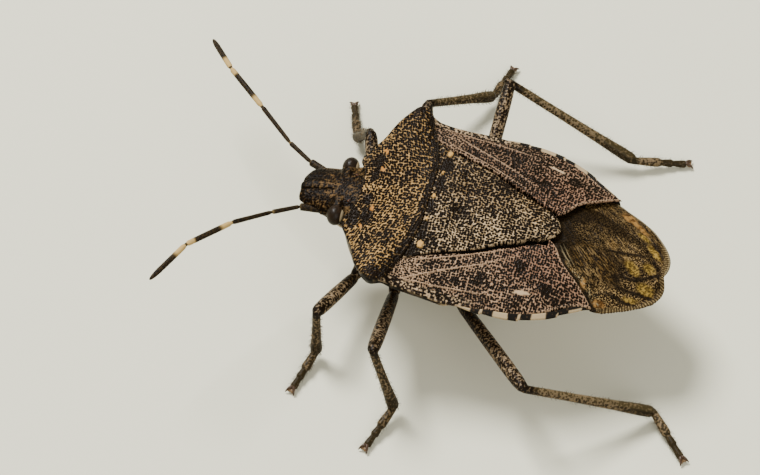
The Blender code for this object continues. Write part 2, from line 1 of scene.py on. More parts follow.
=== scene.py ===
"""Looks of a life-size brown marmorated shield bug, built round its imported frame.

Lengths are millimetres in the bug's own frame: x from head to tail, y to its right side, z up from
the floor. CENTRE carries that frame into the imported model's, and MM turns it into metres.
"""

import math

import bmesh
import bpy
import numpy as np
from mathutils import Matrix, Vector


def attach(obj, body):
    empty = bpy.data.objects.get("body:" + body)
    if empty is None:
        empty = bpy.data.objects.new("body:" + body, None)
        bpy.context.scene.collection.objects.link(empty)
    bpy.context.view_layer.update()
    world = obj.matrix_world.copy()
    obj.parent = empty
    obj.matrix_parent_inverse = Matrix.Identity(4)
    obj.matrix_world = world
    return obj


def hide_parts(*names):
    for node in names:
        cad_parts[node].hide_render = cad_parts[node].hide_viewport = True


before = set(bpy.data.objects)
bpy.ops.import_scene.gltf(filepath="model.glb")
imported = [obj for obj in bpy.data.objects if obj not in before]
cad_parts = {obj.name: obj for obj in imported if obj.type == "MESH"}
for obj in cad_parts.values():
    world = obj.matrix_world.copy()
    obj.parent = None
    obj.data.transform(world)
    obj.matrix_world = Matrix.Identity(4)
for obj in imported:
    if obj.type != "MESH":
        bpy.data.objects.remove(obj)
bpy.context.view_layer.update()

MM = 0.001
CENTRE = np.array((1.83, -1.29, 0.0))

# The photograph's view: a long lens, from the head's left and well above
VIEW_AZIMUTH = math.radians(14.6)
VIEW_ELEVATION = math.radians(54)
VIEW_TARGET = (-4.657, 0.585, 1.264)
VIEW_DISTANCE = 190.0
LENS = 220.5
SENSOR = 36.0

# Body
HEAD_TIP = -7.75
COLLAR = -5.2
PRONOTUM_REAR = -2.28
SCUTELLUM_TIP = 2.94
WING_TIP = 7.45
STEP = 0.024                     # spacing of the points on a punctured plate
COARSE = 8                       # fine squares along one wide square of a plate's underside
PUNCTURE = 0.108                 # spacing of the punctures
ROW_LEAN = 0.33                  # how far back the pronotum's rows run, per length to the side
VOXEL = 0.03                     # cell size of a skin over several lofts
FAR = 99.0                       # further than any distance on the bug
SIDES = {"left": -1, "right": 1}
STREAK_TURN = math.radians(-42)  # direction of the fine streaks of the membranes
SUTURES = (-0.72, 0.7, 2.2, 3.62, 4.85, 5.75)

EYE_CENTRE = (-6.03, 1.23, 4.74)
EYE_RADIUS = 0.42

# Legs: hip, knee, end of tibia and end of tarsus
TOE = 0.12
LEGS = {
    "front_left": ((-5.11, -1.91, 1.65), (-5.89, -4.75, 2.87), (-5.87, -4.96, 0.45),
                   (-6.38, -6.76, TOE)),
    "middle_left": ((-3.33, -2.35, 1.65), (-3.07, -6.67, 3.88), (-2.15, -6.85, 0.5),
                    (-2.82, -8.72, TOE)),
    "hind_left": ((-0.55, -2.12, 1.65), (3.04, -6.55, 3.3), (7.94, -4.46, 0.5),
                  (9.48, -6.12, TOE)),
    "front_right": ((-5.16, 1.89, 1.65), (-6.15, 4.78, 2.55), (-7.02, 5.92, 0.46),
                    (-7.62, 7.73, TOE)),
    "middle_right": ((-3.51, 2.34, 1.65), (-4.32, 7.13, 2.1), (-2.03, 9.39, 0.52),
                     (-1.64, 11.23, TOE)),
    "hind_right": ((-1.15, 2.29, 1.65), (-1.04, 8.0, 3.48), (4.45, 7.58, 0.52),
                   (6.55, 8.25, TOE)),
}
COXAE = {"front": (-4.85, 1.17, 1.75), "middle": (-3.38, 1.57, 1.72), "hind": (-1.08, 1.52, 1.72)}

# Antennae: ends of the five segments, from the socket out
ANTENNAE = {
    "left": ((-6.7, -0.82, 4.3), (-7.6, -0.91, 4.35), (-8.54, -1.68, 4.67), (-9.8, -3.02, 5.31),
             (-11.19, -4.8, 5.71), (-12.11, -6.89, 5.77)),
    "right": ((-6.7, 0.95, 4.3), (-7.82, 1.58, 4.05), (-8.87, 2.26, 4.13), (-10.39, 3.53, 4.43),
              (-12.13, 5.06, 4.52), (-13.43, 6.8, 3.93)),
}
ANTENNA_RADII = (0.15, 0.095, 0.095, 0.11, 0.11)
SEGMENT_RINGS = 46               # rings along each segment of an antenna
TIP_RINGS = 14                   # how many of the last rings round off its end
ROUND = 28                       # points round an antenna or the beak

FEMUR, TIBIA, TARSUS, COXA = range(4)
CLAW_SIDES = 14
HAIRS_PER_LEG = 420
HAIR_RADIUS = 0.008


# Curves, noise and punctures

def profile(*knots):
    """A smooth value along x through a few (x, value) knots, without overshoot."""
    xs, ys = np.array(knots, float).T
    slope = np.diff(ys) / np.diff(xs)
    tangent = np.zeros(len(xs))
    product, total = slope[:-1] * slope[1:], slope[:-1] + slope[1:]
    tangent[1:-1] = np.where(product > 0, 2 * product / np.where(product > 0, total, 1), 0)
    tangent[0], tangent[-1] = slope[0], slope[-1]

    def value(x):
        x = np.clip(x, xs[0], xs[-1])
        i = np.clip(np.searchsorted(xs, x, side="right") - 1, 0, len(xs) - 2)
        span = xs[i + 1] - xs[i]
        t = (x - xs[i]) / span
        rise = span * (t * (1 - t) ** 2 * tangent[i] - t * t * (1 - t) * tangent[i + 1])
        return ys[i] + (ys[i + 1] - ys[i]) * t * t * (3 - 2 * t) + rise

    return value


def ramp(low, high, value):
    """0 below low and 1 above high, with a smooth rise between; low may be above high."""
    t = np.clip((value - low) / (high - low), 0, 1)
    return t * t * (3 - 2 * t)


def bump_at(value, centre, width):
    """A bell of height 1 round a centre."""
    return np.exp(-((value - centre) / width) ** 2)


def most(*values):
    """The greatest of several fields at each point."""
    return np.maximum.reduce(np.broadcast_arrays(*values))


def unit(way):
    """The direction of a vector, with length 1."""
    return way / np.linalg.norm(way)


def on_side(side, points):
    """Points or marks of the right side, or with side -1 the same ones on the left."""
    return [(x, side * y, *rest) for x, y, *rest in points]


def paired(x, y, length, width, turn):
    """A mark for each side."""
    return (x, y, length, width, turn), (x, -y, length, width, -turn)


def mirrored(*points):
    """A smooth line across the body, from its points between the midline and the right end."""
    return smooth_line(*on_side(-1, points[:0:-1]), *points)


def smooth_line(*points):
    """A function from shares of a length to places on a smooth line through points."""
    knots = np.array(points, float)
    padded = np.vstack([knots[:1], knots, knots[-1:]])
    t = np.linspace(0, 1, 17)[1:, None]
    runs = [knots[:1]]
    for p0, p1, p2, p3 in zip(padded, padded[1:], padded[2:], padded[3:]):
        runs.append(0.5 * (2 * p1 + (p2 - p0) * t + (2 * p0 - 5 * p1 + 4 * p2 - p3) * t ** 2
                           + (3 * p1 - p0 - 3 * p2 + p3) * t ** 3))
    fine = np.vstack(runs)
    along = np.concatenate([[0], np.cumsum(np.linalg.norm(np.diff(fine, axis=0), axis=1))])
    along /= along[-1]

    def place(share):
        return np.stack([np.interp(share, along, column) for column in fine.T], axis=-1)

    return place


def stations(length):
    """Shares of a length for the points of a plate: one more than a multiple of COARSE."""
    return np.linspace(0, 1, COARSE * max(2, round(length / STEP / COARSE)) + 1)


def patch(front, rear, left, right, length, width):
    """Plan grid inside four joined lines; front and rear run left to right."""
    s, t = stations(length), stations(width)
    beside_left, beside_right = left(s)[:, None], right(s)[:, None]
    ahead, behind = front(t)[None], rear(t)[None]
    s, t = s[:, None, None], t[None, :, None]
    corners = ((1 - s) * ((1 - t) * beside_left[0] + t * beside_right[0])
               + s * ((1 - t) * beside_left[-1] + t * beside_right[-1]))
    ruled = (1 - t) * beside_left + t * beside_right + (1 - s) * ahead + s * behind
    return ruled - corners


def noise(points, size, seed):
    """Smooth seeded noise from 0 to 1 over points of two or three dimensions."""
    points = np.asarray(points, float) / size
    dims = points.shape[-1]
    period = 32
    table = np.random.default_rng(seed).random((period,) * dims)
    base = np.floor(points).astype(int)
    share = points - base
    share = share * share * (3 - 2 * share)
    total = 0.0
    for step in np.ndindex((2,) * dims):
        corner = tuple(np.moveaxis((base + step) % period, -1, 0))
        weight = np.prod(np.where(np.array(step) == 1, share, 1 - share), axis=-1)
        total = total + weight * table[corner]
    return total


def mottle(points, size, seed):
    """Two layers of noise, the second finer."""
    return 0.65 * noise(points, size, seed) + 0.35 * noise(points, size * 0.43, seed + 1)


def punctures(points, size, seed, jitter=0.8):
    """How far the nearest puncture lies, in spacings, and that puncture's own share of 1."""
    points = np.asarray(points, float) / size
    dims = points.shape[-1]
    period = 64 if dims == 2 else 24
    table = np.random.default_rng(seed).random((period,) * dims + (dims + 1,))
    base = np.floor(points).astype(int)
    nearest = np.full(points.shape[:-1], FAR)
    own = np.zeros(points.shape[:-1])
    for step in np.ndindex((3,) * dims):
        cell = base + np.array(step) - 1
        draw = table[tuple(np.moveaxis(cell % period, -1, 0))]
        centre = cell + 0.5 + jitter * (draw[..., :dims] - 0.5)
        distance = np.linalg.norm(points - centre, axis=-1)
        closer = distance < nearest
        nearest = np.where(closer, distance, nearest)
        own = np.where(closer, draw[..., dims], own)
    return nearest, own


def marks(x, y, places, ragged=0.09):
    """The strongest of several soft oval marks, each (x, y, length, width, turn in degrees)."""
    strongest = np.zeros(np.shape(x))
    plan = np.stack([x, y], axis=-1)
    x, y = x + ragged * (noise(plan, 0.1, 3) - 0.5), y + ragged * (noise(plan, 0.1, 4) - 0.5)
    for cx, cy, length, width, turn in places:
        angle = math.radians(turn)
        along = (x - cx) * math.cos(angle) + (y - cy) * math.sin(angle)
        aside = (y - cy) * math.cos(angle) - (x - cx) * math.sin(angle)
        away = np.sqrt((along / length) ** 2 + (aside / width) ** 2)
        strongest = np.maximum(strongest, ramp(1.25, 0.6, away))
    return strongest


def near_line(x, y, points):
    """Distance in plan to a smooth line, and the share of its length there."""
    line = smooth_line(*points)(np.linspace(0, 1, 61))
    best = np.full(np.shape(x), FAR)
    share = np.zeros(np.shape(x))
    for k, (start, end) in enumerate(zip(line, line[1:])):
        way = end - start
        t = np.clip(((x - start[0]) * way[0] + (y - start[1]) * way[1]) / (way @ way), 0, 1)
        away = np.hypot(x - start[0] - t * way[0], y - start[1] - t * way[1])
        share = np.where(away < best, (k + t) / (len(line) - 1), share)
        best = np.minimum(best, away)
    return best, share


# Meshes

def new_mesh(name, points, faces, turned=True):
    """A mesh, with its faces turned outwards unless they already look that way."""
    mesh = bpy.data.meshes.new(name)
    mesh.from_pydata(points.tolist(), [], faces)
    if turned:
        builder = bmesh.new()
        builder.from_mesh(mesh)
        bmesh.ops.recalc_face_normals(builder, faces=builder.faces)
        builder.to_mesh(mesh)
        builder.free()
    return mesh


def placed(name, data):
    """A new object in the scene."""
    item = bpy.data.objects.new(name, data)
    bpy.context.scene.collection.objects.link(item)
    return item


def piece(name, points, faces, finish, replaced=(), fields=None, turned=True):
    """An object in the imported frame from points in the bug's millimetres."""
    mesh = new_mesh(name, (points + CENTRE) * MM, faces, turned)
    mesh.shade_smooth()
    for field, values in (fields or {}).items():
        attribute = mesh.attributes.new(field, "FLOAT", "POINT")
        attribute.data.foreach_set("value", np.ravel(values).astype(np.float32))
    mesh.materials.append(finish)
    item = placed(name, mesh)
    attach(item, "root")
    if replaced:
        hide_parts(*replaced)
    return item


def facing(grid):
    """Upward normals of a grid of points."""
    normal = np.cross(np.gradient(grid, axis=0), np.gradient(grid, axis=1))
    normal /= np.maximum(np.linalg.norm(normal, axis=-1, keepdims=True), 1e-9)
    return normal * np.where(normal[..., 2:] < 0, -1, 1)


def from_edge(grid):
    """Distance of each grid point from the nearest edge of the grid."""
    away = np.full(grid.shape[:2], FAR)
    for axis in (0, 1):
        steps = np.linalg.norm(np.diff(grid, axis=axis), axis=-1)
        steps = np.insert(steps, 0, 0, axis=axis)
        length = np.cumsum(steps, axis=axis)
        total = np.take(length, [-1], axis=axis)
        away = np.minimum(away, np.minimum(length, total - length))
    return away


def rounded_edge(grid, radius):
    """How far the surface drops towards its edge to round it."""
    inside = np.clip(from_edge(grid) / radius, 0, 1)
    return radius * (1 - np.sqrt(np.clip(1 - (1 - inside) ** 2, 0, 1)))


def plate(name, grid, thickness, finish, replaced, fields):
    """A closed plate: a fine upper grid, and below it a smaller one of wider squares."""
    rows, columns = grid.shape[:2]
    low_rows, low_columns = (rows - 1) // COARSE + 1, (columns - 1) // COARSE + 1
    inset = min(round(0.95 * thickness / STEP), rows // 3, columns // 3)
    down = np.linspace(inset, rows - 1 - inset, low_rows).round().astype(int)
    over = np.linspace(inset, columns - 1 - inset, low_columns).round().astype(int)
    lower = grid[down[:, None], over[None]] - np.array((0, 0, thickness))
    start = rows * columns
    points = np.concatenate([grid.reshape(-1, 3), lower.reshape(-1, 3)])

    def squares(count, width, offset, flip):
        i, j = np.meshgrid(np.arange(count - 1), np.arange(width - 1), indexing="ij")
        corner = (offset + i * width + j).ravel()
        around = [corner, corner + 1, corner + width + 1, corner + width]
        return np.stack(around[::-1] if flip else around, axis=1).tolist()

    def ring(count, width, offset):
        return ([offset + j for j in range(width - 1)]
                + [offset + i * width + width - 1 for i in range(count - 1)]
                + [offset + (count - 1) * width + j for j in range(width - 1, 0, -1)]
                + [offset + i * width for i in range(count - 1, 0, -1)])

    faces = squares(rows, columns, 0, True) + squares(low_rows, low_columns, start, False)
    fine, wide = ring(rows, columns, 0), ring(low_rows, low_columns, start)
    for i, corner in enumerate(wide):
        following = wide[(i + 1) % len(wide)]
        run = [fine[(i * COARSE + k) % len(fine)] for k in range(COARSE + 1)]
        middle = COARSE // 2
        faces += [(corner, a, b) for a, b in zip(run[:middle], run[1:])]
        faces.append((corner, run[middle], following))
        faces += [(following, a, b) for a, b in zip(run[middle:], run[middle + 1:])]
    values = {field: np.concatenate([value.ravel(), value[::COARSE, ::COARSE].ravel()])
              for field, value in fields.items()}
    # Painted shade under the plate: the underside is fully dark, and the side walls darken towards it.
    values["dark"][start:] = 1.0
    return piece(name, points, faces, finish, replaced, values)


def ring_faces(rows, columns):
    """Faces of a closed tube of rings, with a fan to a centre point at each end."""
    i, j = np.meshgrid(np.arange(rows - 1), np.arange(columns), indexing="ij")
    after = (j + 1) % columns
    walls = np.stack([i * columns + j, i * columns + after, (i + 1) * columns + after,
                      (i + 1) * columns + j], axis=-1).reshape(-1, 4).tolist()
    first, last = rows * columns, rows * columns + 1
    base = (rows - 1) * columns
    fans = [(first, (k + 1) % columns, k) for k in range(columns)]
    fans += [(last, base + k, base + (k + 1) % columns) for k in range(columns)]
    return walls + fans


def loft(points, radii, sides=24, flat=1.0):
    """Rings along a path: the points of the rings and of two end centres, and the faces."""
    path = np.array(points, float)
    radii = np.broadcast_to(np.asarray(radii, float), (len(path),))
    ways = np.gradient(path, axis=0)
    ways /= np.linalg.norm(ways, axis=1, keepdims=True)
    across = np.cross(ways[0], (0, 0, 1))
    if np.linalg.norm(across) < 0.1:
        across = np.cross(ways[0], (0, 1, 0))
    angles = np.linspace(0, 2 * math.pi, sides, endpoint=False)
    rings = []
    for centre, way, radius in zip(path, ways, radii):
        across = across - way * (across @ way)
        across /= np.linalg.norm(across)
        upward = np.cross(across, way)
        rings.append(centre + radius * (np.outer(np.cos(angles), across)
                                        + flat * np.outer(np.sin(angles), upward)))
    rings = np.array(rings)
    ends = np.array([path[0], path[-1]])
    return np.concatenate([rings.reshape(-1, 3), ends]), ring_faces(len(path), sides)


def limb(start, end, shape, flat=1.0):
    """A straight loft with (share, radius) stations along it."""
    start, end = np.array(start, float), np.array(end, float)
    shares, radii = np.array(shape, float).T
    return loft(start + shares[:, None] * (end - start), radii, flat=flat)


def triples(collection, field):
    """Three numbers of every item of a mesh's collection."""
    values = np.empty(len(collection) * 3, np.float32)
    collection.foreach_get(field, values)
    return values.reshape(-1, 3).astype(float)


def skinned(parts):
    """One skin over several closed lofts: its points, faces and normals."""
    points, faces, offset = [], [], 0
    for part_points, part_faces in parts:
        points.append(part_points)
        faces += [[offset + k for k in face] for face in part_faces]
        offset += len(part_points)
    item = placed("skin", new_mesh("skin", np.concatenate(points), faces))
    remesh = item.modifiers.new("remesh", "REMESH")
    remesh.mode = "VOXEL"
    remesh.voxel_size = VOXEL
    relax = item.modifiers.new("relax", "SMOOTH")
    relax.factor = 0.5
    relax.iterations = 3
    result = item.evaluated_get(bpy.context.evaluated_depsgraph_get()).data
    made = (triples(result.vertices, "co"), [tuple(polygon.vertices) for polygon in result.polygons],
            triples(result.vertex_normals, "vector"))
    bpy.data.objects.remove(item)
    return made


# Materials

class Finish:
    """A node material under construction, with short calls for the nodes that these finishes use."""

    def __init__(self, name, roughness, shine=0.5):
        self.material = bpy.data.materials.new(name)
        self.material.use_nodes = True
        self.tree = self.material.node_tree
        self.shader = self.tree.nodes["Principled BSDF"]
        self.shader.inputs["Roughness"].default_value = roughness
        self.shader.inputs["Specular IOR Level"].default_value = shine
        self.place = self.tree.nodes.new("ShaderNodeTexCoord").outputs["Object"]

    def node(self, kind, **settings):
        made = self.tree.nodes.new(kind)
        for key, value in settings.items():
            setattr(made, key, value)
        return made

    def feed(self, socket, value):
        if isinstance(value, bpy.types.NodeSocket):
            self.tree.links.new(value, socket)
        elif isinstance(value, tuple) and len(value) == 3 and socket.type == "RGBA":
            socket.default_value = (*value, 1.0)
        else:
            socket.default_value = value

    def field(self, name):
        return self.node("ShaderNodeAttribute", attribute_name=name).outputs["Fac"]

    def maths(self, operation, first, second=0.0, third=0.0):
        made = self.node("ShaderNodeMath", operation=operation)
        for socket, value in zip(made.inputs, (first, second, third)):
            self.feed(socket, value)
        return made.outputs[0]

    def scaled(self, value, by, plus=0.0):
        return self.maths("MULTIPLY_ADD", value, by, plus)

    def smooth(self, value, low, high):
        made = self.node("ShaderNodeMapRange", interpolation_type="SMOOTHSTEP")
        for socket, entry in zip(made.inputs, (value, low, high)):
            self.feed(socket, entry)
        return made.outputs[0]

    def mix(self, share, first, second):
        made = self.node("ShaderNodeMix", data_type="RGBA")
        self.feed(made.inputs["Factor"], share)
        self.feed(made.inputs[6], first)
        self.feed(made.inputs[7], second)
        return made.outputs[2]

    def noise(self, size, detail=2.0, stretch=1.0, turn=0.0):
        """Noise whose features are about size millimetres across, drawn out along one direction."""
        made = self.node("ShaderNodeTexNoise")
        made.inputs["Scale"].default_value = 1 / (size * MM)
        made.inputs["Detail"].default_value = detail
        place = self.place
        if stretch > 1:
            mapping = self.node("ShaderNodeMapping", vector_type="TEXTURE")
            mapping.inputs["Rotation"].default_value = (0, 0, turn)
            mapping.inputs["Scale"].default_value = (stretch, 1, 1)
            self.feed(mapping.inputs["Vector"], place)
            place = mapping.outputs[0]
        self.feed(made.inputs["Vector"], place)
        return made.outputs[0]

    def clouds(self, size, low, high, first, second):
        """Two colours in soft patches about size millimetres across."""
        return self.mix(self.smooth(self.noise(size), low, high), first, second)

    def grain(self, size, strength):
        """Fine relief in the surface."""
        made = self.node("ShaderNodeBump")
        made.inputs["Strength"].default_value = strength
        made.inputs["Distance"].default_value = size * MM
        self.feed(made.inputs["Height"], self.noise(size, 3.0))
        self.feed(self.shader.inputs["Normal"], made.outputs[0])

    def finish(self, colour, roughness=None):
        self.feed(self.shader.inputs["Base Color"], colour)
        if roughness is not None:
            self.feed(self.shader.inputs["Roughness"], roughness)
        return self.material


def cuticle(name, size, shine, light, tan, dusk, pit, spot, tint_and_shade):
    """Punctured cuticle: dark pits in a pale network, with the fields that shade and mark it."""
    roughness, soft = 0.42, 0.06
    made = Finish(name, roughness, shine)
    dark, pale = made.field("dark"), made.field("pale")
    reach = made.scaled(made.field("own"), 0.12, size - 0.06)
    reach = made.maths("ADD", reach, made.scaled(made.noise(0.5), 0.2, -0.1))
    reach = made.maths("ADD", reach, made.scaled(dark, 0.2))
    reach = made.maths("SUBTRACT", reach, made.scaled(pale, 0.22))
    low, high = made.maths("SUBTRACT", reach, soft), made.maths("ADD", reach, soft)
    clear = made.smooth(made.field("pit"), low, high)
    web = made.clouds(0.07, 0.38, 0.64, tan, light)
    # This field mixes in the last colour: a real tint in most places, painted shade on the right side of the
    # scutellum and the right wing.
    web = made.mix(made.field("tint_and_shade"), web, tint_and_shade)
    web = made.mix(made.maths("MULTIPLY", pale, 0.6), web, light)
    web = made.mix(made.maths("MULTIPLY", dark, 0.85), web, dusk)
    colour = made.mix(clear, pit, web)
    colour = made.mix(made.field("spot"), colour, spot)
    made.grain(0.03, 0.25)
    return made.finish(colour, made.scaled(clear, 0.12, roughness - 0.08))


def make_finishes():
    """Every material, by a short name."""
    finishes = {}
    dusk, pit, rose = (0.013, 0.010, 0.007), (0.0065, 0.0035, 0.0012), (0.18, 0.086, 0.05)
    for key, name, size, shine, *tones in (
            ("shield", "marbled_shield", 0.485, 0.06, (0.43, 0.262, 0.094), (0.14, 0.077, 0.023),
             dusk, pit, (0.40, 0.165, 0.03), rose),
            ("scutellum", "marbled_scutellum", 0.505, 0.06, (0.475, 0.345, 0.195), (0.125, 0.08, 0.033),
             dusk, pit, (0.46, 0.26, 0.07), (0.18, 0.097, 0.026)),
            ("wing", "leathery_wing", 0.49, 0.06, (0.37, 0.245, 0.145), (0.13, 0.076, 0.042),
             dusk, pit, (0.42, 0.3, 0.17), rose),
            ("head", "dark_head", 0.48, 0.04, (0.13, 0.076, 0.029), (0.036, 0.02, 0.006),
             (0.007, 0.0038, 0.0012), (0.0035, 0.0018, 0.0005), (0.22, 0.11, 0.035), rose),
            ("leg", "speckled_leg", 0.58, 0.06, (0.28, 0.2, 0.115), (0.08, 0.05, 0.022),
             (0.011, 0.0075, 0.004), pit, (0.105, 0.078, 0.03), (0.052, 0.03, 0.01)),
            ("belly", "pale_belly", 0.29, 0.06, (0.34, 0.24, 0.128), (0.2, 0.135, 0.068),
             (0.03, 0.022, 0.014), (0.03, 0.018, 0.009), (0.35, 0.26, 0.145), (0.006, 0.005, 0.0035))):
        finishes[key] = cuticle(name, size, shine, *tones)

    antenna = Finish("antenna", 0.5, 0.08)
    speck = antenna.smooth(antenna.field("pit"), 0.4, 0.6)
    dark = antenna.mix(speck, (0.005, 0.0035, 0.002), (0.028, 0.017, 0.006))
    antenna.grain(0.03, 0.3)
    finishes["antenna"] = antenna.finish(antenna.mix(antenna.field("pale"), dark, (0.42, 0.28, 0.10)))

    eye = Finish("compound_eye", 0.4, 0.1)
    shade = eye.clouds(0.25, 0.35, 0.7, (0.012, 0.006, 0.003), (0.04, 0.019, 0.008))
    shade = eye.mix(eye.field("pit"), (0.008, 0.005, 0.002), shade)
    eye.shader.inputs["Coat Weight"].default_value = 0.03
    eye.shader.inputs["Coat Roughness"].default_value = 0.12
    finishes["eye"] = eye.finish(eye.mix(eye.field("pale"), shade, (0.4, 0.31, 0.18)))

    ocellus = Finish("ocellus", 0.3, 0.2)
    glow = ocellus.clouds(0.1, 0.4, 0.6, (0.02, 0.007, 0.003), (0.07, 0.027, 0.009))
    finishes["ocellus"] = ocellus.finish(glow)

    film = Finish("wing_membrane", 0.42, 0.035)
    speck = film.smooth(film.noise(0.05), 0.42, 0.66)
    brown = film.mix(speck, (0.003, 0.0017, 0.0004), (0.02, 0.0115, 0.0035))
    bead = film.smooth(film.noise(0.05, 1.0), 0.5, 0.64)
    thread = film.smooth(film.noise(0.055, 1.0, 14.0, STREAK_TURN), 0.49, 0.6)
    thread = film.maths("MULTIPLY", thread, film.scaled(bead, 0.5, 0.5))
    gold = film.clouds(0.4, 0.4, 0.6, (0.10, 0.056, 0.015), (0.21, 0.135, 0.052))
    colour = film.mix(film.maths("MULTIPLY", thread, film.field("streak")), brown, gold)
    colour = film.mix(film.maths("MULTIPLY", bead, film.scaled(film.field("grain"), 0.85)), colour,
                      (0.27, 0.175, 0.07))
    window = film.clouds(0.08, 0.4, 0.62, (0.05, 0.03, 0.005), (0.26, 0.165, 0.035))
    colour = film.mix(film.field("window"), colour, window)
    amber = film.clouds(0.2, 0.4, 0.6, (0.055, 0.024, 0.005), (0.25, 0.13, 0.035))
    colour = film.mix(film.field("amber"), colour, amber)
    rib = film.smooth(film.maths("SINE", film.scaled(film.field("ribs"), 2 * math.pi)), -0.4, 0.8)
    ribbed = film.mix(film.maths("MULTIPLY", rib, film.scaled(bead, 0.7, 0.3)), (0.035, 0.022, 0.008),
                      (0.25, 0.18, 0.08))
    colour = film.mix(film.field("rim"), colour, ribbed)
    shade = film.mix(speck, (0.005, 0.0032, 0.0013), (0.02, 0.013, 0.006))
    colour = film.mix(film.field("dark"), colour, shade)
    colour = film.mix(film.field("glint"), colour, (0.36, 0.3, 0.17))
    film.grain(0.045, 0.4)
    finishes["film"] = film.finish(colour)

    beak = Finish("beak", 0.4)
    beak.grain(0.05, 0.2)
    tone = beak.mix(beak.noise(0.3), (0.3, 0.2, 0.09), (0.42, 0.3, 0.15))
    finishes["beak"] = beak.finish(beak.mix(beak.field("dark"), tone, (0.03, 0.018, 0.01)))

    claw = Finish("claw", 0.35, 0.3)
    claw.grain(0.03, 0.15)
    finishes["claw"] = claw.finish(claw.mix(claw.field("pale"), (0.045, 0.022, 0.009), (0.14, 0.08, 0.033)))

    hair = Finish("hair", 0.5, 0.2)
    finishes["hair"] = hair.finish(hair.mix(hair.noise(1.0), (0.04, 0.027, 0.014), (0.16, 0.11, 0.055)))
    return finishes


# Body heights and widths, as the solids have them

midline = profile((HEAD_TIP, 4.6), (-5.95, 5.13), (COLLAR, 5.33), (PRONOTUM_REAR, 5.71),
                  (0.48, 5.54), (SCUTELLUM_TIP, 5.31), (WING_TIP, 4.36))
edge_height = profile((-5.7, 4.8), (-5.0, 5.05), (-4.2, 5.4), (-3.85, 5.55), (-3.4, 5.4),
                      (-3.0, 5.1), (-1.7, 4.85), (0.0, 4.65), (2.0, 4.45), (4.0, 4.3), (7.5, 4.2))
keel = profile((COLLAR, 2.5), (-4.8, 2.1), (-4.0, 1.88), (-3.0, 1.8), (2.0, 1.8), (4.5, 2.35),
               (6.55, 3.2))
half_width = profile((-5.7, 1.9), (-5.0, 2.87), (-4.65, 3.64), (-4.2, 4.2), (-3.85, 4.43),
                     (-3.4, 4.2), (-2.9, 4.15), (-1.7, 4.2), (-0.3, 4.33), (1.0, 4.4),
                     (2.1, 4.25), (3.1, 3.88), (3.9, 3.4), (4.9, 2.75), (6.0, 2.2), (6.7, 1.75),
                     (7.45, 1.0))
body_half = profile((-5.6, 1.5), (-5.3, 2.05), (-4.9, 2.75), (-4.2, 3.9), (-3.85, 4.15), (-3.4, 4.0),
                    (-2.9, 3.98), (-1.7, 4.06), (-0.7, 4.2), (1.0, 4.27), (2.1, 4.12), (3.1, 3.75),
                    (3.9, 3.27), (4.7, 2.72), (5.3, 2.1), (6.1, 1.35), (6.55, 0.7))
scutellum_half = profile((-2.7, 2.93), (-2.2, 2.65), (-1.6, 2.4), (-0.2, 1.9), (0.9, 1.3),
                         (1.4, 1.1), (1.85, 0.85), (2.25, 0.7))
membrane_sink = profile((2.5, 0.3), (5.0, 0.16), (WING_TIP, 0.0))
rim_width = profile((-1.0, 0.0), (0.4, 0.18), (1.0, 0.3), (4.2, 0.3), (4.9, 0.02))


def back(x, y):
    """Height of the dorsal surface."""
    across = np.minimum(np.abs(y) / half_width(x), 1.05)
    return midline(x) - (midline(x) - edge_height(x)) * across ** 2.3


def slanted(x, y, lean, stretch):
    """Plan points for a pattern that leans back on both sides and is drawn out across the body."""
    return np.stack([x + lean * np.maximum(np.abs(y) - 0.6, 0), y / stretch], axis=-1)


def pitted(grid, size, seed, depth, quiet, stretch=1.0, lean=0.0):
    """Push punctures into a grid, except where quiet is 1: the new grid and the punctures' two fields."""
    plan = slanted(grid[..., 0], grid[..., 1], lean, stretch)
    warp = noise(plan, 0.5, seed + 7)[..., None] * 0.12
    away, own = punctures(plan + warp, size, seed, jitter=0.62)
    border = ramp(0.07, 0.03, from_edge(grid))
    pit = ramp(0.46, 0.1, away) * (1 - np.clip(np.maximum(quiet, border), 0, 1))
    return grid - facing(grid) * (depth * pit)[..., None], away + 0.12 * border + 0.3 * quiet, own


pronotum_rear = profile((0, -2.43), (1.3, -2.46), (2.5, -2.7), (3.4, -3.02), (4.16, -3.32))


def tucked(x, y):
    """How far a plate lies lower where it goes under the rear of the pronotum."""
    return 0.09 + 0.09 * ramp(0.02, -0.2, x - pronotum_rear(np.abs(y)))


def blank(grid):
    return np.zeros(grid.shape[:2])


def shading(pits, dark, pale, spot, tint_and_shade):
    """The fields that a cuticle finish reads."""
    away, own = pits
    return {"pit": away, "own": own, "dark": dark, "pale": pale, "spot": spot, "tint_and_shade": tint_and_shade}


# Plates of the back

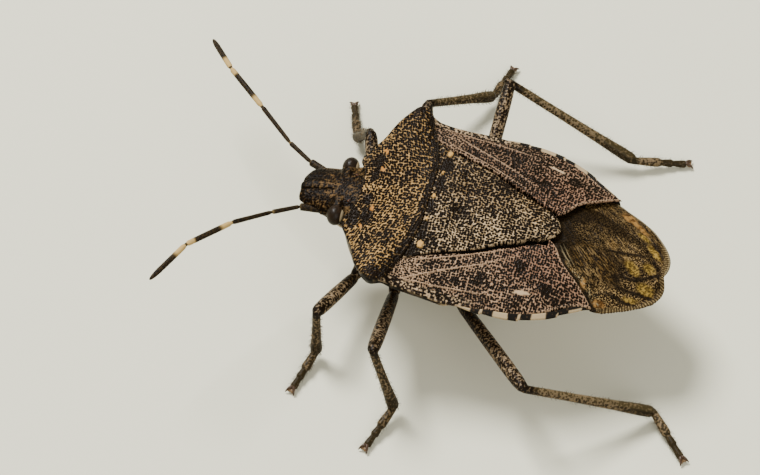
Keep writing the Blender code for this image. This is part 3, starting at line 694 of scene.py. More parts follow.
def make_pronotum(finishes):
    """The shoulder shield, punctured in cross rows, with two smooth calli behind the head."""
    front = mirrored((-5.3, 0), (-5.33, 0.72), (-5.5, 1.14), (-5.64, 1.45), (-5.66, 1.76))
    across = np.linspace(-4.16, 4.16, 17)
    rear = smooth_line(*np.stack([pronotum_rear(np.abs(across)), across], axis=1))
    shoulder = ((-5.66, 1.76), (-5.38, 2.2), (-5.2, 2.5), (-5.0, 2.87), (-4.65, 3.62), (-4.2, 4.2),
                (-3.85, 4.4), (-3.55, 4.36), (-3.32, 4.16))
    plan = patch(front, rear, *[smooth_line(*on_side(side, shoulder)) for side in (-1, 1)], 3.4, 8.8)
    x, y = plan[..., 0], plan[..., 1]
    calli = marks(x, y, paired(-4.82, 1.2, 0.42, 0.75, 8))
    z = back(x, y) - 0.05 * calli + 0.05 * marks(x, y, paired(-4.8, 1.25, 0.16, 0.4, 10))
    z = z - 0.06 * bump_at(x, -4.25, 0.18) * ramp(3.6, 2.6, np.abs(y))
    z = z + 0.035 * (mottle(plan, 0.5, 21) - 0.5)
    rugae = noise(slanted(x, y, ROW_LEAN, 5), 0.13, 5)
    z = z + 0.035 * (rugae - 0.5) * ramp(-4.4, -3.9, x)
    grid = np.dstack([plan, z])
    edge = from_edge(grid)
    grid[..., 2] += 0.05 * bump_at(edge, 0.12, 0.06) * ramp(-3.6, -4.3, x) * ramp(1.6, 2.4, np.abs(y))
    spots = marks(x, y, ((-4.72, 1.93, 0.08, 0.13, 20), (-4.63, 0.97, 0.07, 0.1, 0),
                         (-4.62, -0.97, 0.07, 0.13, 0), (-4.85, -1.84, 0.07, 0.11, 30)), 0.14)
    grid, *pits = pitted(grid, PUNCTURE * 0.94, 11, 0.045, spots, stretch=1.2, lean=ROW_LEAN)
    grid[..., 2] -= rounded_edge(grid, 0.07)
    behind = ramp(0.44, 0.1, pronotum_rear(np.abs(y)) - x + 0.2 * (noise(plan, 0.3, 33) - 0.5))
    dark = most(0.9 * marks(x, y, ((-4.95, 1.45, 0.3, 0.42, 0), (-4.75, -1.35, 0.3, 0.5, 0),
                                   (-4.9, -0.6, 0.22, 0.3, 0), (-4.9, 0.7, 0.2, 0.35, 0),
                                   (-5.25, -1.4, 0.3, 0.45, 0), (-5.3, -0.5, 0.1, 0.4, 0))),
                0.7 * marks(x, y, ((-3.75, -4.05, 0.35, 0.35, 0), (-3.9, 4.1, 0.35, 0.3, 0))),
                0.9 * behind,
                0.85 * ramp(0.1, 0.05, edge),
                0.35 * ramp(0.56, 0.74, mottle(plan, 0.6, 31)),
                # painted shade: the right side darker than the left
                0.25 * ramp(-1.0, 2.0, y))
    pale = most(0.85 * marks(x, y, ((-5.0, 0.02, 0.28, 0.07, 0), (-4.55, 0.05, 0.3, 0.05, 0))),
                0.4 * marks(x, y, paired(-4.95, 2.75, 0.35, 0.3, -50)))
    plate("pronotum_shield", grid, 0.5, finishes["shield"], ["pronotum"],
          shading(pits, dark, pale, spots, blank(grid)))


def make_scutellum(finishes):
    """The long triangular shield, with callosities along its base and a rounded, rimmed tip."""
    base = mirrored((-2.75, 0), (-2.78, 1.3), (-3.0, 2.95))
    tip = mirrored((SCUTELLUM_TIP, 0), (2.78, 0.38), (2.5, 0.62), (2.2, 0.72))
    flank = [(x, float(scutellum_half(x))) for x in (-2.65, -2.2, -1.6, -0.9, -0.2, 0.4, 0.9, 1.4, 1.85, 2.2)]
    flank.insert(0, (-3.0, 2.95))
    plan = patch(base, tip, *[smooth_line(*on_side(side, flank)) for side in (-1, 1)], 5.7, 4.6)
    x, y = plan[..., 0], plan[..., 1]
    z = back(x, y) - tucked(x, y)
    z = z - 0.09 * bump_at(x, -1.1, 0.35) * ramp(1.9, 0.8, np.abs(y))
    z = z + 0.05 * bump_at(x, -1.75, 0.4) * ramp(2.2, 1.0, np.abs(y))
    z = z + 0.04 * (mottle(plan, 0.55, 41) - 0.5)
    grid = np.dstack([plan, z])
    grid[..., 2] += 0.05 * bump_at(from_edge(grid), 0.1, 0.05) * ramp(0.8, 1.6, x)
    spots = marks(x, y, ((-2.31, 0.08, 0.09, 0.13, 0), (-2.26, -2.26, 0.13, 0.15, 0),
                         (-2.2, 2.36, 0.11, 0.15, 0), (-2.24, 1.32, 0.07, 0.09, 0),
                         (-2.3, -1.08, 0.07, 0.09, 0)))
    grid[..., 2] += 0.05 * spots
    grid, *pits = pitted(grid, PUNCTURE, 12, 0.045, spots)
    grid[..., 2] -= rounded_edge(grid, 0.08)
    dark = most(0.95 * marks(x, y, ((-2.2, 1.8, 0.3, 0.5, 0), (-2.3, -1.65, 0.2, 0.5, 0),
                                    (-2.2, 0.7, 0.22, 0.45, 0), (-2.3, -0.5, 0.14, 0.4, 0),
                                    (-2.5, -2.6, 0.3, 0.3, 0))),
                0.55 * marks(x, y, ((-1.1, -0.35, 0.5, 0.3, -20), (-1.6, 0.7, 0.3, 0.3, 0),
                                    (2.5, 0.0, 0.2, 0.18, 0), (0.2, 1.4, 0.8, 0.25, -28))),
                0.35 * ramp(0.58, 0.78, mottle(plan, 0.7, 51)),
                # painted shade: darker towards the right side, ahead of x 1.5
                0.25 * ramp(-0.6, 1.2, y) * ramp(1.5, 0.5, x))
    pale = most(0.7 * bump_at(from_edge(grid), 0.09, 0.05) * ramp(1.2, 1.9, x),
                0.3 * ramp(0.55, 0.75, mottle(plan, 0.5, 61)))
    # The last field here is painted shade: the right side, ahead of the tip, turns to the darker brown tone.
    plate("scutellum_shield", grid, 0.55, finishes["scutellum"], ["scutellum"],
          shading(pits, dark, pale, spots, 0.4 * ramp(-0.7, 0.8, y) * ramp(2.6, 1.6, x)))


SEAM = ((2.62, 0.62), (2.94, 0.85), (3.4, 1.5), (4.03, 2.0), (4.5, 2.4), (4.86, 2.74))
WING_VEINS = (((-2.69, 3.81), (-1.5, 3.75), (0.31, 3.62), (2.2, 3.3)),
              ((-2.69, 3.81), (-1.2, 3.1), (0.2, 2.5), (1.29, 1.9), (2.3, 1.3)),
              ((-2.3, 2.95), (-0.4, 2.25), (0.9, 1.66), (2.0, 1.2)))
SMUDGES = ((1.77, 2.08, 0.3, 0.22, 0), (2.95, 2.7, 0.3, 0.25, 0), (0.33, 3.19, 0.25, 0.2, 0),
           (-0.56, 3.38, 0.2, 0.2, 0), (0.39, 2.95, 0.22, 0.2, 0))


def make_corium(finishes, side_name, side):
    """The leathery part of a fore wing, with its veins and the pale rim along its membrane."""
    far = side > 0
    base = ((-2.95, 2.75), (-3.2, 3.45), (-3.5, float(half_width(-3.5))))
    inner = [(x, float(scutellum_half(x)) - 0.1) for x in (-2.2, -1.6, -0.9, -0.2, 0.4, 0.9, 1.4, 1.9)]
    outer = [(x, float(half_width(x) - rim_width(x)))
             for x in (-3.5, -3.2, -2.6, -1.8, -1.0, 0.0, 1.0, 2.0, 3.0, 4.0)]
    lines = (base, SEAM, (base[0], *inner, SEAM[0]), (*outer, SEAM[-1]))
    plan = patch(*[smooth_line(*on_side(side, line)) for line in lines], 7.9, 2.7)
    x, y = plan[..., 0], plan[..., 1]
    from_scutellum = np.abs(y) - scutellum_half(x) + FAR * (x > 2.6)
    gap = profile((-2.6, 0.05), (-1.0, 0.1), (0.5, 0.18), (1.5, 0.22), (2.2, 0.2), (2.9, 0.12))(x)
    if far:
        gap = 0.03 + 0.4 * gap
    grid = np.dstack([plan, back(x, y) - tucked(x, y)])
    edge = from_edge(grid)
    dip = 0.28 * ramp(gap + 0.07, gap - 0.02, from_scutellum)
    dip = dip * profile((-2.6, 0.3), (-1.0, 0.6), (0.3, 1.0), (2.6, 1.0))(x)
    grid[..., 2] += -dip + 0.04 * (mottle(plan, 0.6, 71) - 0.5)
    grid[..., 2] += 0.05 * bump_at(edge, 0.07, 0.05) * ramp(2.4, 2.9, x)
    veins = blank(grid)
    for points in WING_VEINS:
        away, share = near_line(x, y, on_side(side, points))
        veins = np.maximum(veins, bump_at(away, 0, 0.038) * ramp(1.0, 0.45, share))
    grid[..., 2] += 0.05 * veins
    streak = marks(x, y, ((2.07, side * 3.14, 0.33, 0.07, -side * 12),))
    grid, *pits = pitted(grid, PUNCTURE * 0.92, 13 + far, 0.035, np.maximum(0.85 * veins, streak))
    grid[..., 2] -= rounded_edge(grid, 0.05)
    costal = half_width(x) - rim_width(x) - np.abs(y)
    margin = ramp(0.36, 0.26, costal) * ramp(0.6, -0.4, x)
    flecks = margin * ramp(0.54, 0.64, noise(plan, 0.065, 83))
    # Painted shade in the groove beside the scutellum: dark, and without pale marks.
    groove = ramp(gap + 0.04, gap - 0.03, from_scutellum) * ramp(-2.6, -1.5, x)
    dark = most(0.7 * marks(x, y, on_side(side, SMUDGES)),
                0.3 * ramp(0.55, 0.75, mottle(plan, 0.6, 81 + far)),
                0.95 * margin) * (1 - flecks)
    dark = most(dark,
                0.9 * ramp(0.06, 0.03, costal) * ramp(0.4, -0.4, x),
                # painted shade: the right wing darker towards its front
                0.28 * far * ramp(2.6, 0.6, x))
    dark = np.maximum(dark * (1 - streak), groove)
    pale = most(0.85 * veins, streak, 0.8 * flecks,
                0.7 * bump_at(edge, 0.06, 0.05) * ramp(2.5, 3.0, x),
                0.35 * ramp(-1.4, -2.3, x) * ramp(0.35, 0.5, costal),
                0.8 * far * bump_at(from_scutellum, gap + 0.08, 0.04) * ramp(1.0, -0.5, x))
    tint_and_shade = 0.5 * ramp(0.2, 1.9, x) * ramp(3.4, 2.2, np.abs(y)) + 0.12 * ramp(-1.5, 0.5, x)
    # Painted shade: the right wing takes at least 0.38 of the darker rose tone.
    tint_and_shade = np.maximum(tint_and_shade, 0.38 * far)
    plate("forewing_" + side_name, grid, 0.42, finishes["wing"], ["corium_" + side_name],
          shading(pits, dark, pale * (1 - groove), np.maximum(streak, 0.6 * flecks), tint_and_shade * (1 - pale)))


WINDOWS = ((6.03, -0.6, 0.42, 0.22, -40), (6.68, -0.4, 0.3, 0.2, -30), (6.72, -1.32, 0.38, 0.24, -8),
           (6.25, -1.92, 0.33, 0.13, 5))
FAR_WINDOWS = ((6.2, 1.0, 0.36, 0.1, -33), (6.7, 0.42, 0.42, 0.15, -40))
LEFT_INNER = ((3.55, 1.62), (4.12, 1.69), (4.67, 1.48), (5.22, 1.22), (6.26, 0.65), (6.85, 0.02),
              (7.32, -0.58))
LEFT_OUTER = ((4.8, -2.74), (5.3, -2.68), (5.9, -2.47), (6.7, -2.13), (7.19, -1.77))
LEFT_VEINS = (((2.9, -0.5), (4.2, -0.2), (5.3, -0.1), (6.35, 0.1)),
              ((2.95, -0.6), (4.3, -0.9), (5.5, -1.1), (6.25, -1.08), (7.05, -0.6)),
              ((3.1, -0.95), (4.3, -1.5), (5.3, -1.5), (5.85, -1.6), (6.38, -1.62), (7.0, -1.6)),
              ((3.6, -1.5), (4.5, -2.1), (5.3, -1.97), (5.94, -2.06), (6.4, -2.1)))
RIGHT_INNER = ((3.5, 1.2), (4.1, 1.3), (4.67, 1.1), (5.22, 0.85), (6.2, 0.3), (6.7, -0.3), (7.1, -0.8))
RIGHT_OUTER = ((3.55, 2.0), (4.15, 2.42), (4.75, 2.58), (5.35, 2.28), (5.99, 1.92), (6.6, 1.45),
               (7.15, 0.8), (7.4, 0.3), (7.44, -0.1))
FILM_CENTRE = (5.2, -0.2)
RIB_TURNS = 21                   # ribs of the rim per radian round FILM_CENTRE


def film_fields(grid, windows, border, seed):
    """Fine streaks, clear windows between the veins, and the ribbed rim of a membrane."""
    x, y = grid[..., 0], grid[..., 1]
    cosine, sine = math.cos(STREAK_TURN), math.sin(STREAK_TURN)
    along = np.stack([(x * cosine + y * sine) / 7, y * cosine - x * sine], axis=-1)
    relief = ramp(0.42, 0.75, noise(along, 0.085, seed))
    window = marks(x, y, windows)
    ribs = np.arctan2(y - FILM_CENTRE[1], x - FILM_CENTRE[0]) * RIB_TURNS
    ribs = ribs + 0.5 * (noise(grid[..., :2], 0.4, seed + 1) - 0.5)
    return relief, window, ribs, near_line(x, y, border)[0]


def frayed(grid, away, seed):
    """A distance from a membrane's border, made uneven."""
    return away + 0.14 * (noise(grid[..., :2], 0.15, seed) - 0.5)


def lay_film(finishes, side_name, grid, rim, ribs, **fields):
    """Raise the ribs of a membrane's rim, round its edge and put it in place."""
    grid[..., 2] += 0.02 * rim * np.sin(ribs * 2 * math.pi)
    grid[..., 2] -= rounded_edge(grid, 0.035)
    plate("wing_film_" + side_name, grid, 0.1, finishes["film"], ["membrane_" + side_name],
          {"rim": rim, "ribs": ribs, **fields})


def make_left_membrane(finishes):
    """The left wing's membrane, which lies over the right one."""
    front = smooth_line(LEFT_OUTER[0], (3.95, -1.98), (3.3, -1.5), (2.84, -0.75), (2.7, 0), (2.5, 0.85),
                        (3.0, 1.4), LEFT_INNER[0])
    rear = smooth_line(LEFT_OUTER[-1], (7.4, -1.4), (7.44, -1.0), LEFT_INNER[-1])
    plan = patch(front, rear, smooth_line(*LEFT_OUTER), smooth_line(*LEFT_INNER), 4.4, 4.0)
    x, y = plan[..., 0], plan[..., 1]
    grid = np.dstack([plan, back(x, y) - 0.09 - membrane_sink(x)])
    border = (*LEFT_OUTER, (7.43, -1.2), (7.36, -0.65))
    relief, window, ribs, outside = film_fields(grid, WINDOWS, border, 91)
    rim = ramp(4.9, 5.5, x) * ramp(0.22, 0.11, frayed(grid, outside, 93))
    streak = marks(x, y, ((4.6, -1.0, 1.15, 0.75, -35), (5.4, 0.1, 0.9, 0.5, -30),
                          (3.5, -1.2, 0.5, 0.3, -50)))
    grain = marks(x, y, ((4.5, 0.35, 1.3, 0.6, -15), (5.9, 0.05, 0.8, 0.5, -30), (5.5, -2.1, 0.7, 0.35, 5),
                         (6.0, -1.3, 0.5, 0.3, -20), (6.8, -0.9, 0.4, 0.5, 0)))
    grain = 0.34 * np.maximum(grain, 0.25 * ramp(3.2, 4.2, x)) * (1 + 1.6 * ramp(5.2, 6.0, x))
    beside = near_line(x, y, on_side(-1, SEAM))[0]
    grain = most(grain,
                 ramp(-1.35, -1.8, y) * ramp(4.5, 5.0, x),
                 ramp(0.5, 0.38, beside) * ramp(0.18, 0.24, beside) * ramp(3.2, 3.6, x))
    rough = 0.35 + 0.65 * np.maximum(streak, grain)
    grid[..., 2] += 0.022 * (relief - 0.5) * rough * (1 - window) - 0.03 * window
    grid[..., 2] += 0.06 * (mottle(plan, 0.5, 92) - 0.5)
    dark = most(0.5 * marks(x, y, ((3.1, 0.2, 0.3, 0.7, 0), (3.6, 1.1, 0.6, 0.3, 30))),
                0.8 * marks(x, y, ((5.5, -1.25, 0.22, 0.17, -40),)),
                0.85 * ramp(0.22, 0.12, beside))
    for points in LEFT_VEINS:
        away, share = near_line(x, y, points)
        grid[..., 2] += 0.035 * bump_at(away, 0, 0.05) * ramp(1.0, 0.85, share)
        dark = np.maximum(dark, bump_at(away, 0, 0.07) * ramp(0.5, 0.7, share) * 0.95)
    away, share = near_line(x, y, ((3.11, -0.53), (3.4, -0.93), (3.75, -1.34)))
    grid[..., 2] += 0.07 * (bump_at(away, 0.06, 0.03) - bump_at(away, 0, 0.03))
    dark = np.maximum(dark, bump_at(away, 0, 0.05))
    # Painted highlights: a pale line along each side of the fold, and small pale specks beside the seam.
    fold_glint = 0.45 * bump_at(away, 0.075, 0.018) * bump_at(share, 0.5, 0.4) * (share > 0) * (share < 1)
    glint_specks = ramp(0.72, 0.84, noise(plan, 0.055, 94)) * bump_at(beside, 0.3, 0.1) * ramp(3.1, 3.5, x)
    amber = 0.9 * marks(x, y, ((5.05, -2.42, 0.3, 0.13, 5), (4.3, -1.95, 0.12, 0.3, 0)))
    lay_film(finishes, "left", grid, rim, ribs, streak=streak * (1 - dark), grain=grain * (1 - dark),
             window=window * 0.85, dark=dark * (1 - rim), amber=amber, glint=np.maximum(fold_glint, 0.6 * glint_specks))


def make_right_membrane(finishes):
    """The right wing's membrane, lower where it goes under the left one."""
    front = smooth_line(RIGHT_INNER[0], RIGHT_OUTER[0])
    rear = smooth_line(RIGHT_INNER[-1], (7.35, -0.45), RIGHT_OUTER[-1])
    plan = patch(front, rear, smooth_line(*RIGHT_INNER), smooth_line(*RIGHT_OUTER), 4.6, 1.2)
    x, y = plan[..., 0], plan[..., 1]
    lap_x, lap_y = np.array(LEFT_INNER).T
    under = np.interp(x, lap_x, lap_y) - y
    grid = np.dstack([plan, back(x, y) - 0.11 - membrane_sink(x) - 0.12 * ramp(-0.05, 0.15, under)])
    relief, window, ribs, outside = film_fields(grid, FAR_WINDOWS, (*RIGHT_OUTER[2:], (7.38, -0.4)), 93)
    rim = ramp(6.8, 7.1, x) * ramp(0.28, 0.16, frayed(grid, outside, 95))
    # The raised line along the border is also painted pale as a highlight.
    line = 0.75 * bump_at(outside, 0.05, 0.03)
    grid[..., 2] += 0.02 * (relief - 0.5) * (1 - window) + 0.03 * line
    amber = 0.85 * marks(x, y, ((5.4, 1.87, 0.42, 0.2, -34), (5.9, 1.5, 0.5, 0.12, -38)))
    veins = bump_at(near_line(x, y, ((5.9, 0.75), (6.1, 0.72), (6.62, 0.85), (7.02, 0.35)))[0], 0, 0.06)
    lay_film(finishes, "right", grid, rim, ribs, streak=0.6 * (1 - window), grain=blank(grid) + 0.3,
             window=window, dark=0.85 * veins * (1 - rim), amber=amber * (1 - window), glint=line * 0.5)


# Underside

def make_body(finishes):
    """Thorax and abdomen in one skin, with the banded rim beside the wings and the belly's segments."""
    front, tail, rows = -5.6, 6.55, 390
    below, above = 170, 84
    x = np.linspace(front, tail, rows)[:, None]
    phase = np.interp(x, SUTURES, range(len(SUTURES)))
    in_segment = phase - np.floor(phase)
    tooth = 0.06 * in_segment * ramp(-0.6, 0.2, x) * ramp(5.2, 4.7, x)
    half = body_half(x) + tooth
    low_share = np.sin(np.linspace(-math.pi / 2, math.pi / 2, below))[None]
    high_share = np.sin(np.linspace(math.pi / 2, -math.pi / 2, above + 2))[None, 1:-1]
    covered = ramp(-0.5, -0.9, x)
    edge_z = back(x, half) - 0.16 - 0.2 * covered - 0.35 * ramp(4.5, 5.1, x)
    across = np.abs(low_share)
    y_low = half * low_share
    z_low = edge_z - (edge_z - keel(x)) * (1 - across ** 1.65)
    groove = bump_at(in_segment, 0.0, 0.05) + bump_at(in_segment, 1.0, 0.05)
    on_belly = ramp(-0.9, -0.6, x)
    z_low = z_low + 0.05 * groove * on_belly * ramp(0.98, 0.8, across)
    thoracic = ramp(-0.7, -1.0, x)
    for cx, cy, cz in COXAE.values():
        away = np.hypot(x - cx, np.abs(y_low) - cy - 0.1) / 0.7
        z_low = z_low + (cz + 0.35 - z_low) * np.exp(-away ** 4)
    z_low = z_low + 0.25 * np.exp(-(y_low / 0.42) ** 2) * thoracic
    for seam_x in (-4.15, -2.35):
        z_low = z_low + 0.12 * bump_at(x + 0.12 * np.abs(y_low), seam_x, 0.05) * ramp(0.4, 0.7, np.abs(y_low))
    y_high = half * high_share
    beneath = half_width(x) - rim_width(x) - np.abs(y_high)
    at_tail = ramp(5.2, 6.0, x)
    sink = 0.07 + 0.55 * ramp(-0.04, 0.3, beneath) * (1 - 0.8 * at_tail) + 0.1 * at_tail
    sink = sink + 0.3 * ramp(4.6, 5.2, x) + 0.2 * covered
    z_high = back(x, y_high) - sink
    points_y = np.concatenate([y_low, y_high], axis=1)
    points_z = np.concatenate([z_low, z_high], axis=1)
    columns = points_y.shape[1]
    grid = np.dstack([np.broadcast_to(x, points_y.shape), points_y, points_z])
    away, own = punctures(grid, 0.16, 15)
    side_share = np.abs(points_y) / half
    lower = np.arange(columns)[None] < below
    grid[..., 2] += 0.03 * lower * ramp(0.3, 0.1, away)
    inward = half - np.abs(points_y)
    rim = ramp(0.62, 0.5, inward) * ramp(-1.1, -0.7, x) * ramp(5.2, 4.9, x)
    uneven = in_segment + 0.05 * (noise(grid[..., :2], 0.15, 18) - 0.5)
    band = np.maximum(ramp(0.35, 0.31, uneven), ramp(0.68, 0.72, uneven)) * rim
    band = band * (1 - 0.8 * np.maximum(ramp(0.035, 0.02, uneven), ramp(0.965, 0.98, uneven)))
    band = np.maximum(band, rim * ramp(3.3, 3.45, x) * ramp(0.03, 0.08, inward))
    band = np.where(lower, band * ramp(0.35, 0.2, inward), band)
    spiracle = marks(in_segment + 0 * points_y, side_share, ((0.5, 0.78, 0.07, 0.016, 0),), 0)
    dark = lower * most(0.6 * ramp(0.6, 0.8, mottle(grid, 0.5, 17)) * ramp(0.3, 0.7, side_share),
                        0.5 * groove * on_belly,
                        0.4 * thoracic * ramp(0.4, 0.62, mottle(grid, 0.4, 16)),
                        spiracle * on_belly)
    shoulder = ramp(0.84, 0.93, side_share) * ramp(-0.5, -1.3, x)
    shoulder = shoulder * (0.5 + 0.5 * ramp(0.3, 0.55, mottle(grid, 0.2, 20)))
    tint_and_shade = most(band, shoulder, ~lower * (1 - rim) * ramp(6.0, 5.5, x))
    pale = rim * (1 - band)
    fields = {name: np.concatenate([value.ravel(), [0, 0]])
              for name, value in shading((away, own), dark * (1 - band), pale, pale * 0.9, tint_and_shade).items()}
    ends = np.array([(front, 0, 3.8), (tail + 0.15, 0, 3.5)])
    piece("body_skin", np.concatenate([grid.reshape(-1, 3), ends]), ring_faces(rows, columns),
          finishes["belly"], ["thorax", "abdomen"], fields)


# Head

def make_head(finishes):
    """Head capsule with its side lobes, antenna sockets and cheeks under one punctured skin."""
    xs = np.array((-7.76, -7.7, -7.55, -7.3, -7.0, -6.7, -6.45, -6.3, -6.0, -5.7, -5.4, -5.15))
    halves = profile((-7.78, 0.46), (-7.7, 0.66), (-7.55, 0.82), (-7.3, 0.97), (-6.8, 1.03), (-6.5, 1.05),
                     (-6.3, 1.07), (-6.0, 1.12), (-5.7, 1.27), (-5.4, 1.45), (-5.1, 1.5))(xs)
    middles = profile((-7.78, 0.03), (-7.3, 0.15), (-6.8, 0.11), (-6.3, 0.04), (-5.1, 0.0))(xs)
    depths = profile((-7.8, 0.2), (-7.7, 0.42), (-7.4, 0.7), (-7.0, 1.05), (-6.2, 1.75), (-5.1, 1.95))(xs)
    sides = 64
    angles = np.linspace(0, 2 * math.pi, sides, endpoint=False)
    cosine, sine = np.cos(angles), np.sin(angles)
    slope = np.where(sine >= 0, 1.0, 1 - 0.6 * np.abs(sine) ** 1.2)
    rings = []
    for x, half, depth, middle in zip(xs, halves, depths, middles):
        y = half * slope * np.sign(cosine) * np.abs(cosine) ** np.where(sine >= 0, 0.75, 0.5)
        top = midline(x) - 0.16 - 0.05 * (x < -7.6) - 0.09 * ramp(-5.6, -5.3, x)
        above = top + 0.16 * np.abs(sine) ** 0.8
        below = top - (depth - 0.16) * np.abs(sine) ** 1.1
        fall = 0.22 * (y / 1.1) ** 2
        z = np.where(sine >= 0, above - fall, below - fall * (1 - np.abs(sine)))
        rings.append(np.stack([np.full(sides, x), y + middle, z], axis=-1))
    rings = np.array(rings)
    ends = np.array([(xs[0] - 0.02, 0.03, 4.38), (xs[-1], 0, 4.4)])
    parts = [(np.concatenate([rings.reshape(-1, 3), ends]), ring_faces(len(xs), sides))]
    for side in (-1, 1):
        parts.append(limb((-6.1, side * 0.78 + 0.08, 4.45), (-6.82, side * 0.92 + 0.06, 4.36),
                          ((0, 0.1), (0.1, 0.28), (0.7, 0.26), (0.95, 0.21), (1.0, 0.12))))
        parts.append(limb((-6.0, side * 0.4, 4.72), (-6.0, side * 1.2, 4.72),
                          ((0, 0.1), (0.1, 0.4), (0.8, 0.36), (1.0, 0.28))))
        parts.append(limb((-7.2, side * 0.32, 3.9), (-5.7, side * 0.34, 3.0),
                          ((0, 0.05), (0.1, 0.16), (0.9, 0.18), (1.0, 0.08)), flat=1.6))
    points, faces, normals = skinned(parts)
    x, y = points[:, 0], points[:, 1] - np.interp(points[:, 0], xs, middles)
    upper = ramp(0.1, 0.5, normals[:, 2])
    clypeus_half = profile((-7.8, 0.2), (-7.3, 0.3), (-6.7, 0.28), (-6.4, 0.2))(x)
    furrow = bump_at(np.abs(y), clypeus_half, 0.04) * ramp(-6.3, -6.5, x)
    lift = -0.05 * furrow + 0.05 * bump_at(y, 0, 0.22) * ramp(-6.3, -6.6, x)
    lift -= 0.05 * bump_at(x, -7.78, 0.08) * bump_at(np.abs(y), clypeus_half + 0.03, 0.1)
    away, own = punctures(points, 0.088, 19)
    lift = lift * upper - 0.025 * ramp(0.45, 0.15, away)
    points = points + normals * lift[:, None]
    pale = upper * most(
        0.7 * marks(x, y, ((-6.9, 0.0, 0.1, 0.03, 0), (-6.62, 0.02, 0.12, 0.035, 0),
                           (-6.2, 0.06, 0.1, 0.03, 0))),
        0.6 * marks(x, y, ((-6.6, -0.46, 0.12, 0.04, -10), (-6.35, -0.5, 0.08, 0.04, 0),
                           (-6.6, 0.46, 0.1, 0.03, 0))),
        0.5 * marks(x, y, paired(-6.62, 0.98, 0.06, 0.06, 0)))
    dark = 0.3 + 0.5 * ramp(0.35, 0.65, mottle(points, 0.35, 23)) + 0.3 * furrow + 0.3 * ramp(-6.9, -7.4, x)
    dark = np.clip(dark * upper + 0.35 * (1 - upper), 0, 1) * (1 - pale)
    behind_eye = bump_at(x, -5.6, 0.07) * ramp(0.85, 1.0, np.abs(y))
    piece("head_capsule", points, faces, finishes["head"], ["head"],
          shading((away, own), dark * (1 - behind_eye), np.maximum(pale, behind_eye), 0.25 * pale,
                  np.zeros(len(points))))


def ovoid(centre, radii, rows, columns):
    """Points, directions and faces of a closed ovoid with its poles across the body."""
    up = np.linspace(0.02, math.pi - 0.02, rows)[:, None]
    around = np.linspace(0, 2 * math.pi, columns, endpoint=False)[None]
    outward = np.dstack([np.sin(up) * np.cos(around), np.cos(up) + 0 * around, np.sin(up) * np.sin(around)])
    outward = np.concatenate([outward.reshape(-1, 3), [(0, 1, 0), (0, -1, 0)]])
    return np.array(centre) + outward * np.array(radii), outward, ring_faces(rows, columns)


def make_eyes(finishes):
    """The faceted eyes, each with a pale rear margin, and the two ocelli behind them."""
    x, y, z = EYE_CENTRE
    ocellus_x = -5.62
    ocellus_z = float(midline(ocellus_x)) - 0.15
    for side_name, side in SIDES.items():
        points, outward, faces = ovoid((x, side * y, z), (EYE_RADIUS * 0.82, EYE_RADIUS, EYE_RADIUS * 0.96),
                                       130, 200)
        facet = ramp(0.6, 0.1, punctures(outward * EYE_RADIUS, 0.034, 25, jitter=0.2)[0])
        points = points + outward * (0.006 * facet)[:, None]
        pale = ramp(0.66, 0.76, outward[:, 0]) * ramp(-0.2, 0.2, outward[:, 2])
        piece("compound_eye_" + side_name, points, faces, finishes["eye"], ["eye_" + side_name],
              {"pit": facet, "pale": pale})
        points, outward, faces = ovoid((ocellus_x, side * 0.66, ocellus_z), (0.08, 0.075, 0.07), 24, 36)
        piece("ocellus_" + side_name, points, faces, finishes["ocellus"])


def make_antennae(finishes):
    """Five slim segments in one skin, drawn in at each joint, dark with pale bands."""
    for side_name, joints in ANTENNAE.items():
        joints = np.array(joints)
        path, radii, share = [], [], []
        for k, (start, end) in enumerate(zip(joints, joints[1:])):
            for t in np.arange(SEGMENT_RINGS) / SEGMENT_RINGS:
                swell = 0.62 + 0.38 * ramp(0.0, 0.09, t) * ramp(1.0, 0.94, t)
                swell *= 0.9 + 0.16 * t if k < 3 else 1.0 + 0.06 * math.sin(math.pi * t)
                path.append(start + t * (end - start))
                radii.append(ANTENNA_RADII[k] * swell)
                share.append(k + t)
        path = np.array(path)
        for _ in range(3):
            path[1:-1] = 0.25 * path[:-2] + 0.5 * path[1:-1] + 0.25 * path[2:]
        to_tip = (np.arange(len(radii)) - len(radii) + TIP_RINGS) / TIP_RINGS
        radii = np.array(radii) * np.sqrt(np.clip(1 - to_tip.clip(0) ** 2, 0.02, 1))
        points, faces = loft(path, radii, ROUND)
        share = np.concatenate([np.repeat(share, ROUND), [share[0], share[-1]]])
        away = punctures(points, 0.06, 27)[0]
        centre = np.concatenate([np.repeat(path, ROUND, axis=0), path[:1], path[-1:]])
        points = points - (points - centre) * (0.12 * ramp(0.5, 0.2, away))[:, None]
        pale = most(ramp(3.0, 3.02, share) * ramp(3.3, 3.2, share),
                    ramp(3.8, 3.86, share) * ramp(4.0, 3.99, share),
                    ramp(4.02, 4.04, share) * ramp(4.36, 4.24, share),
                    0.25 * bump_at(share, 1.98, 0.03), 0.12 * bump_at(share, 0.97, 0.04))
        piece("feeler_" + side_name, points, faces, finishes["antenna"], ["antenna_" + side_name],
              {"pit": away, "pale": pale})


def make_rostrum(finishes):
    """The beak, laid back between the legs, with three joints and a dark tip."""
    line = smooth_line((-7.05, 0, 3.62), (-6.75, 0, 3.15), (-6.2, 0, 2.6), (-5.4, 0, 2.15), (-4.4, 0, 1.72),
                       (-2.8, 0, 1.55), (-1.1, 0, 1.5))
    shares = np.linspace(0, 1, 220)
    radii = profile((0, 0.2), (0.25, 0.19), (0.6, 0.17), (0.85, 0.14), (1, 0.05))(shares)
    for joint in (0.24, 0.52, 0.77):
        radii = radii * (1 - 0.22 * bump_at(shares, joint, 0.008))
    points, faces = loft(line(shares), radii, ROUND, flat=0.85)
    dark = np.concatenate([np.repeat(ramp(0.8, 0.93, shares), ROUND), [0, 1]])
    piece("beak", points, faces, finishes["beak"], ["rostrum"], {"dark": dark})


# Legs

